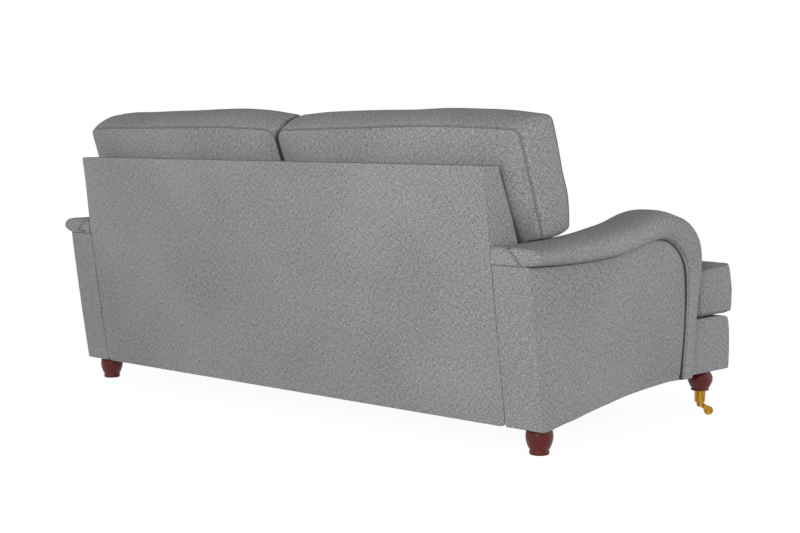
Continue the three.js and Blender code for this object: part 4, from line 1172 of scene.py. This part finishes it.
columns = [("side", -1, k / 8) for k in range(8)] + [("turn", -1, k / 7) for k in range(7)]
columns += [("front", 0, k / 70) for k in range(70)]
columns += [("turn", 1, 1 - k / 7) for k in range(7)] + [("side", 1, 1 - k / 8) for k in range(9)]
bm = sheetGrid(columns, borderLine, borderPlace)
faceOutwards(bm, Vector((0, -2000, 200)))
finishPiece("front_border_padded", bm, ["front_border_cover", "deck_pad"],
            thickness=border["wall"])

# The deck cloth, stretched over the springs and tacked
deck = {"x": 814.0, "front": -296.0, "rear": 279.0, "z": 289.4, "sag": 5.0, "wall": 1.0}


def deckPlace(x, y):
    acrossDeck = 1 - (x / deck["x"]) ** 4
    alongDeck = math.sin(math.pi * (y - deck["front"]) / (deck["rear"] - deck["front"]))
    return Vector((x, y, deck["z"] - deck["sag"] * acrossDeck * alongDeck))


bm = sheetGrid([mix(-deck["x"], deck["x"], s) for s in spread(50)],
               [mix(deck["front"], deck["rear"], s) for s in spread(22)], deckPlace)
faceOutwards(bm, Vector((0, 0, 2000)))
deckCloth = finishPiece("deck_cloth_stretched", bm, ["deck_cloth"], slot="platform_cloth",
                        thickness=deck["wall"])
print("border and deck made")

# Turned legs: where they stand, and radius and height along each
legTurning = {"x": 918.0, "rear": 364.0, "front": -397.0, "steps": 64, "rings": 64}
legLines = {
    "rear": [
        [22, 0], [25.2, 0.8], [26.3, 3.2], [26.5, 7], [26.2, 10.3], [25.4, 12], [25.8, 13.6],
        [27.3, 16.5], [29.5, 20], [32.5, 28], [35.0, 36], [36.2, 44], [36.3, 52], [35.2, 60],
        [32.5, 67], [29.5, 74], [28.2, 79], [28, 83.7],
    ],
    "front": [
        [17, 74.3], [24, 74.3], [26, 75.2], [26.5, 77.2], [26, 79.2], [25.2, 80.6], [26.4, 83.4],
        [29.8, 88.5], [33.4, 96], [35.8, 103], [36.4, 110], [35.4, 117], [32, 123.5], [29, 128.5],
        [28, 132.7],
    ],
}


# A round piece turned from its line of radius and height about an upright axis
def turnedPiece(line):
    profile = [[0.0, line[0][1]], *evenPoints(line, legTurning["rings"]), [0.0, line[-1][1]]]
    bm = bmesh.new()
    verts = [bm.verts.new((r, 0, z)) for r, z in profile]
    edges = [bm.edges.new(pair) for pair in zip(verts, verts[1:])]
    bmesh.ops.spin(bm, geom=verts + edges, cent=(0, 0, 0), axis=(0, 0, 1), angle=2 * math.pi,
                   steps=legTurning["steps"], use_merge=True)
    bmesh.ops.remove_doubles(bm, verts=bm.verts, dist=0.01)
    bmesh.ops.recalc_face_normals(bm, faces=bm.faces)
    return bm


for side in sides:
    for end, line in legLines.items():
        bm = turnedPiece(line)
        bmesh.ops.translate(bm, verts=bm.verts, vec=(legTurning["x"], legTurning[end], 0))
        finishPiece(f"turned_{end}_leg_{side}", bm, [f"{end}_leg_{side}"], side,
                    slot="leg_timber", subdivide=0)
print("legs made")

# The finishes of the nodes that stay as they are
for row in frame["record"]["subparts"]:
    node = frame["nodes"].get(row["node"])
    if node:
        for slot in node.material_slots:
            slot.material = slotFinish[row["material_slot"]]

# A white floor and backdrop, seen as white, and soft light. The glow is how bright the floor is to
# the camera, the shadow how much of that the light adds, and the walls and ceiling light the sofa.
stage = {
    "floorHalf": 12.0, "floor": "#f2f2f2", "glow": 0.95, "shadow": 0.12,
    "walls": 1.75, "ceiling": 0.06, "ceilingFrom": 0.75,
}


def seenByCamera(tree):
    ray = addNode(tree, "ShaderNodeLightPath").outputs
    seen = addNode(tree, "ShaderNodeMath", {0: ray["Is Camera Ray"], 1: ray["Is Glossy Ray"]},
                   operation="MAXIMUM").outputs[0]
    return addNode(tree, "ShaderNodeMath", {0: seen, 1: ray["Is Transmission Ray"]},
                   operation="MAXIMUM").outputs[0]


bm = bmesh.new()
bmesh.ops.create_grid(bm, x_segments=2, y_segments=2, size=stage["floorHalf"])
floorMesh = bpy.data.meshes.new("studio_floor")
bm.to_mesh(floorMesh)
bm.free()
floor = addObject("studio_floor", floorMesh)
# Background paper, pressed and matt: plain white without a shine
paper, tree, shader = newMaterial("matPaperFloor")
shader.inputs["Base Color"].default_value = linear(stage["floor"])
shader.inputs["Roughness"].default_value = 1.0
shader.inputs["Specular IOR Level"].default_value = 0.0
glow = addNode(tree, "ShaderNodeEmission", {"Color": (1, 1, 1, 1), "Strength": stage["glow"]})
dim = addNode(tree, "ShaderNodeBsdfDiffuse", {"Color": [stage["shadow"]] * 3 + [1]})
white = addNode(tree, "ShaderNodeAddShader", {0: glow.outputs[0], 1: dim.outputs[0]})
surface = addNode(tree, "ShaderNodeMixShader", {
    0: seenByCamera(tree), 1: shader.outputs[0], 2: white.outputs[0]})
tree.links.new(surface.outputs[0], tree.nodes["Material Output"].inputs["Surface"])
floorMesh.materials.append(paper)

world = bpy.data.worlds.new("studio")
scene.world = world
world.use_nodes = True
tree = world.node_tree
background = tree.nodes["Background"]
background.inputs["Color"].default_value = (1, 1, 1, 1)
toward = addNode(tree, "ShaderNodeTexCoord").outputs["Generated"]
height = addNode(tree, "ShaderNodeSeparateXYZ", {"Vector": toward}).outputs["Z"]
sky = addNode(tree, "ShaderNodeMapRange", {
    "Value": height, "From Min": 0.0, "From Max": stage["ceilingFrom"], "To Min": stage["walls"],
    "To Max": stage["ceiling"]}).outputs["Result"]
tree.links.new(sky, background.inputs["Strength"])
whiteWorld = addNode(tree, "ShaderNodeBackground", {"Color": (1, 1, 1, 1), "Strength": 1.0})
mixed = addNode(tree, "ShaderNodeMixShader", {
    0: seenByCamera(tree), 1: background.outputs[0], 2: whiteWorld.outputs[0]})
tree.links.new(mixed.outputs[0], tree.nodes["World Output"].inputs["Surface"])


def softLamp(name, location, target, size, power):
    lamp = bpy.data.lights.new(name, "AREA")
    lamp.shape = "DISK"
    lamp.size = size
    lamp.energy = power
    holder = addObject(name, lamp)
    holder.location = location
    holder.rotation_euler = (Vector(target) - Vector(location)).to_track_quat("-Z", "Y").to_euler()


softLamp("key_softbox", (-2.7, 4.7, 1.9), (0, 0, 0.45), 2.8, 106)
softLamp("side_softbox", (-4.2, -2.6, 1.5), (-0.6, -0.2, 0.4), 2.4, 34)

view = {"place": (-3.3636, 3.4923, 0.8408), "turn": (84.9009, 0.0, 223.2254), "lens": 69.785}
cameraData = bpy.data.cameras.new("photo_view")
cameraData.lens = view["lens"]
camera = addObject("photo_view", cameraData)
camera.location = view["place"]
camera.rotation_euler = [math.radians(a) for a in view["turn"]]
scene.camera = camera
scene.view_settings.view_transform = "Standard"
print("stage set")
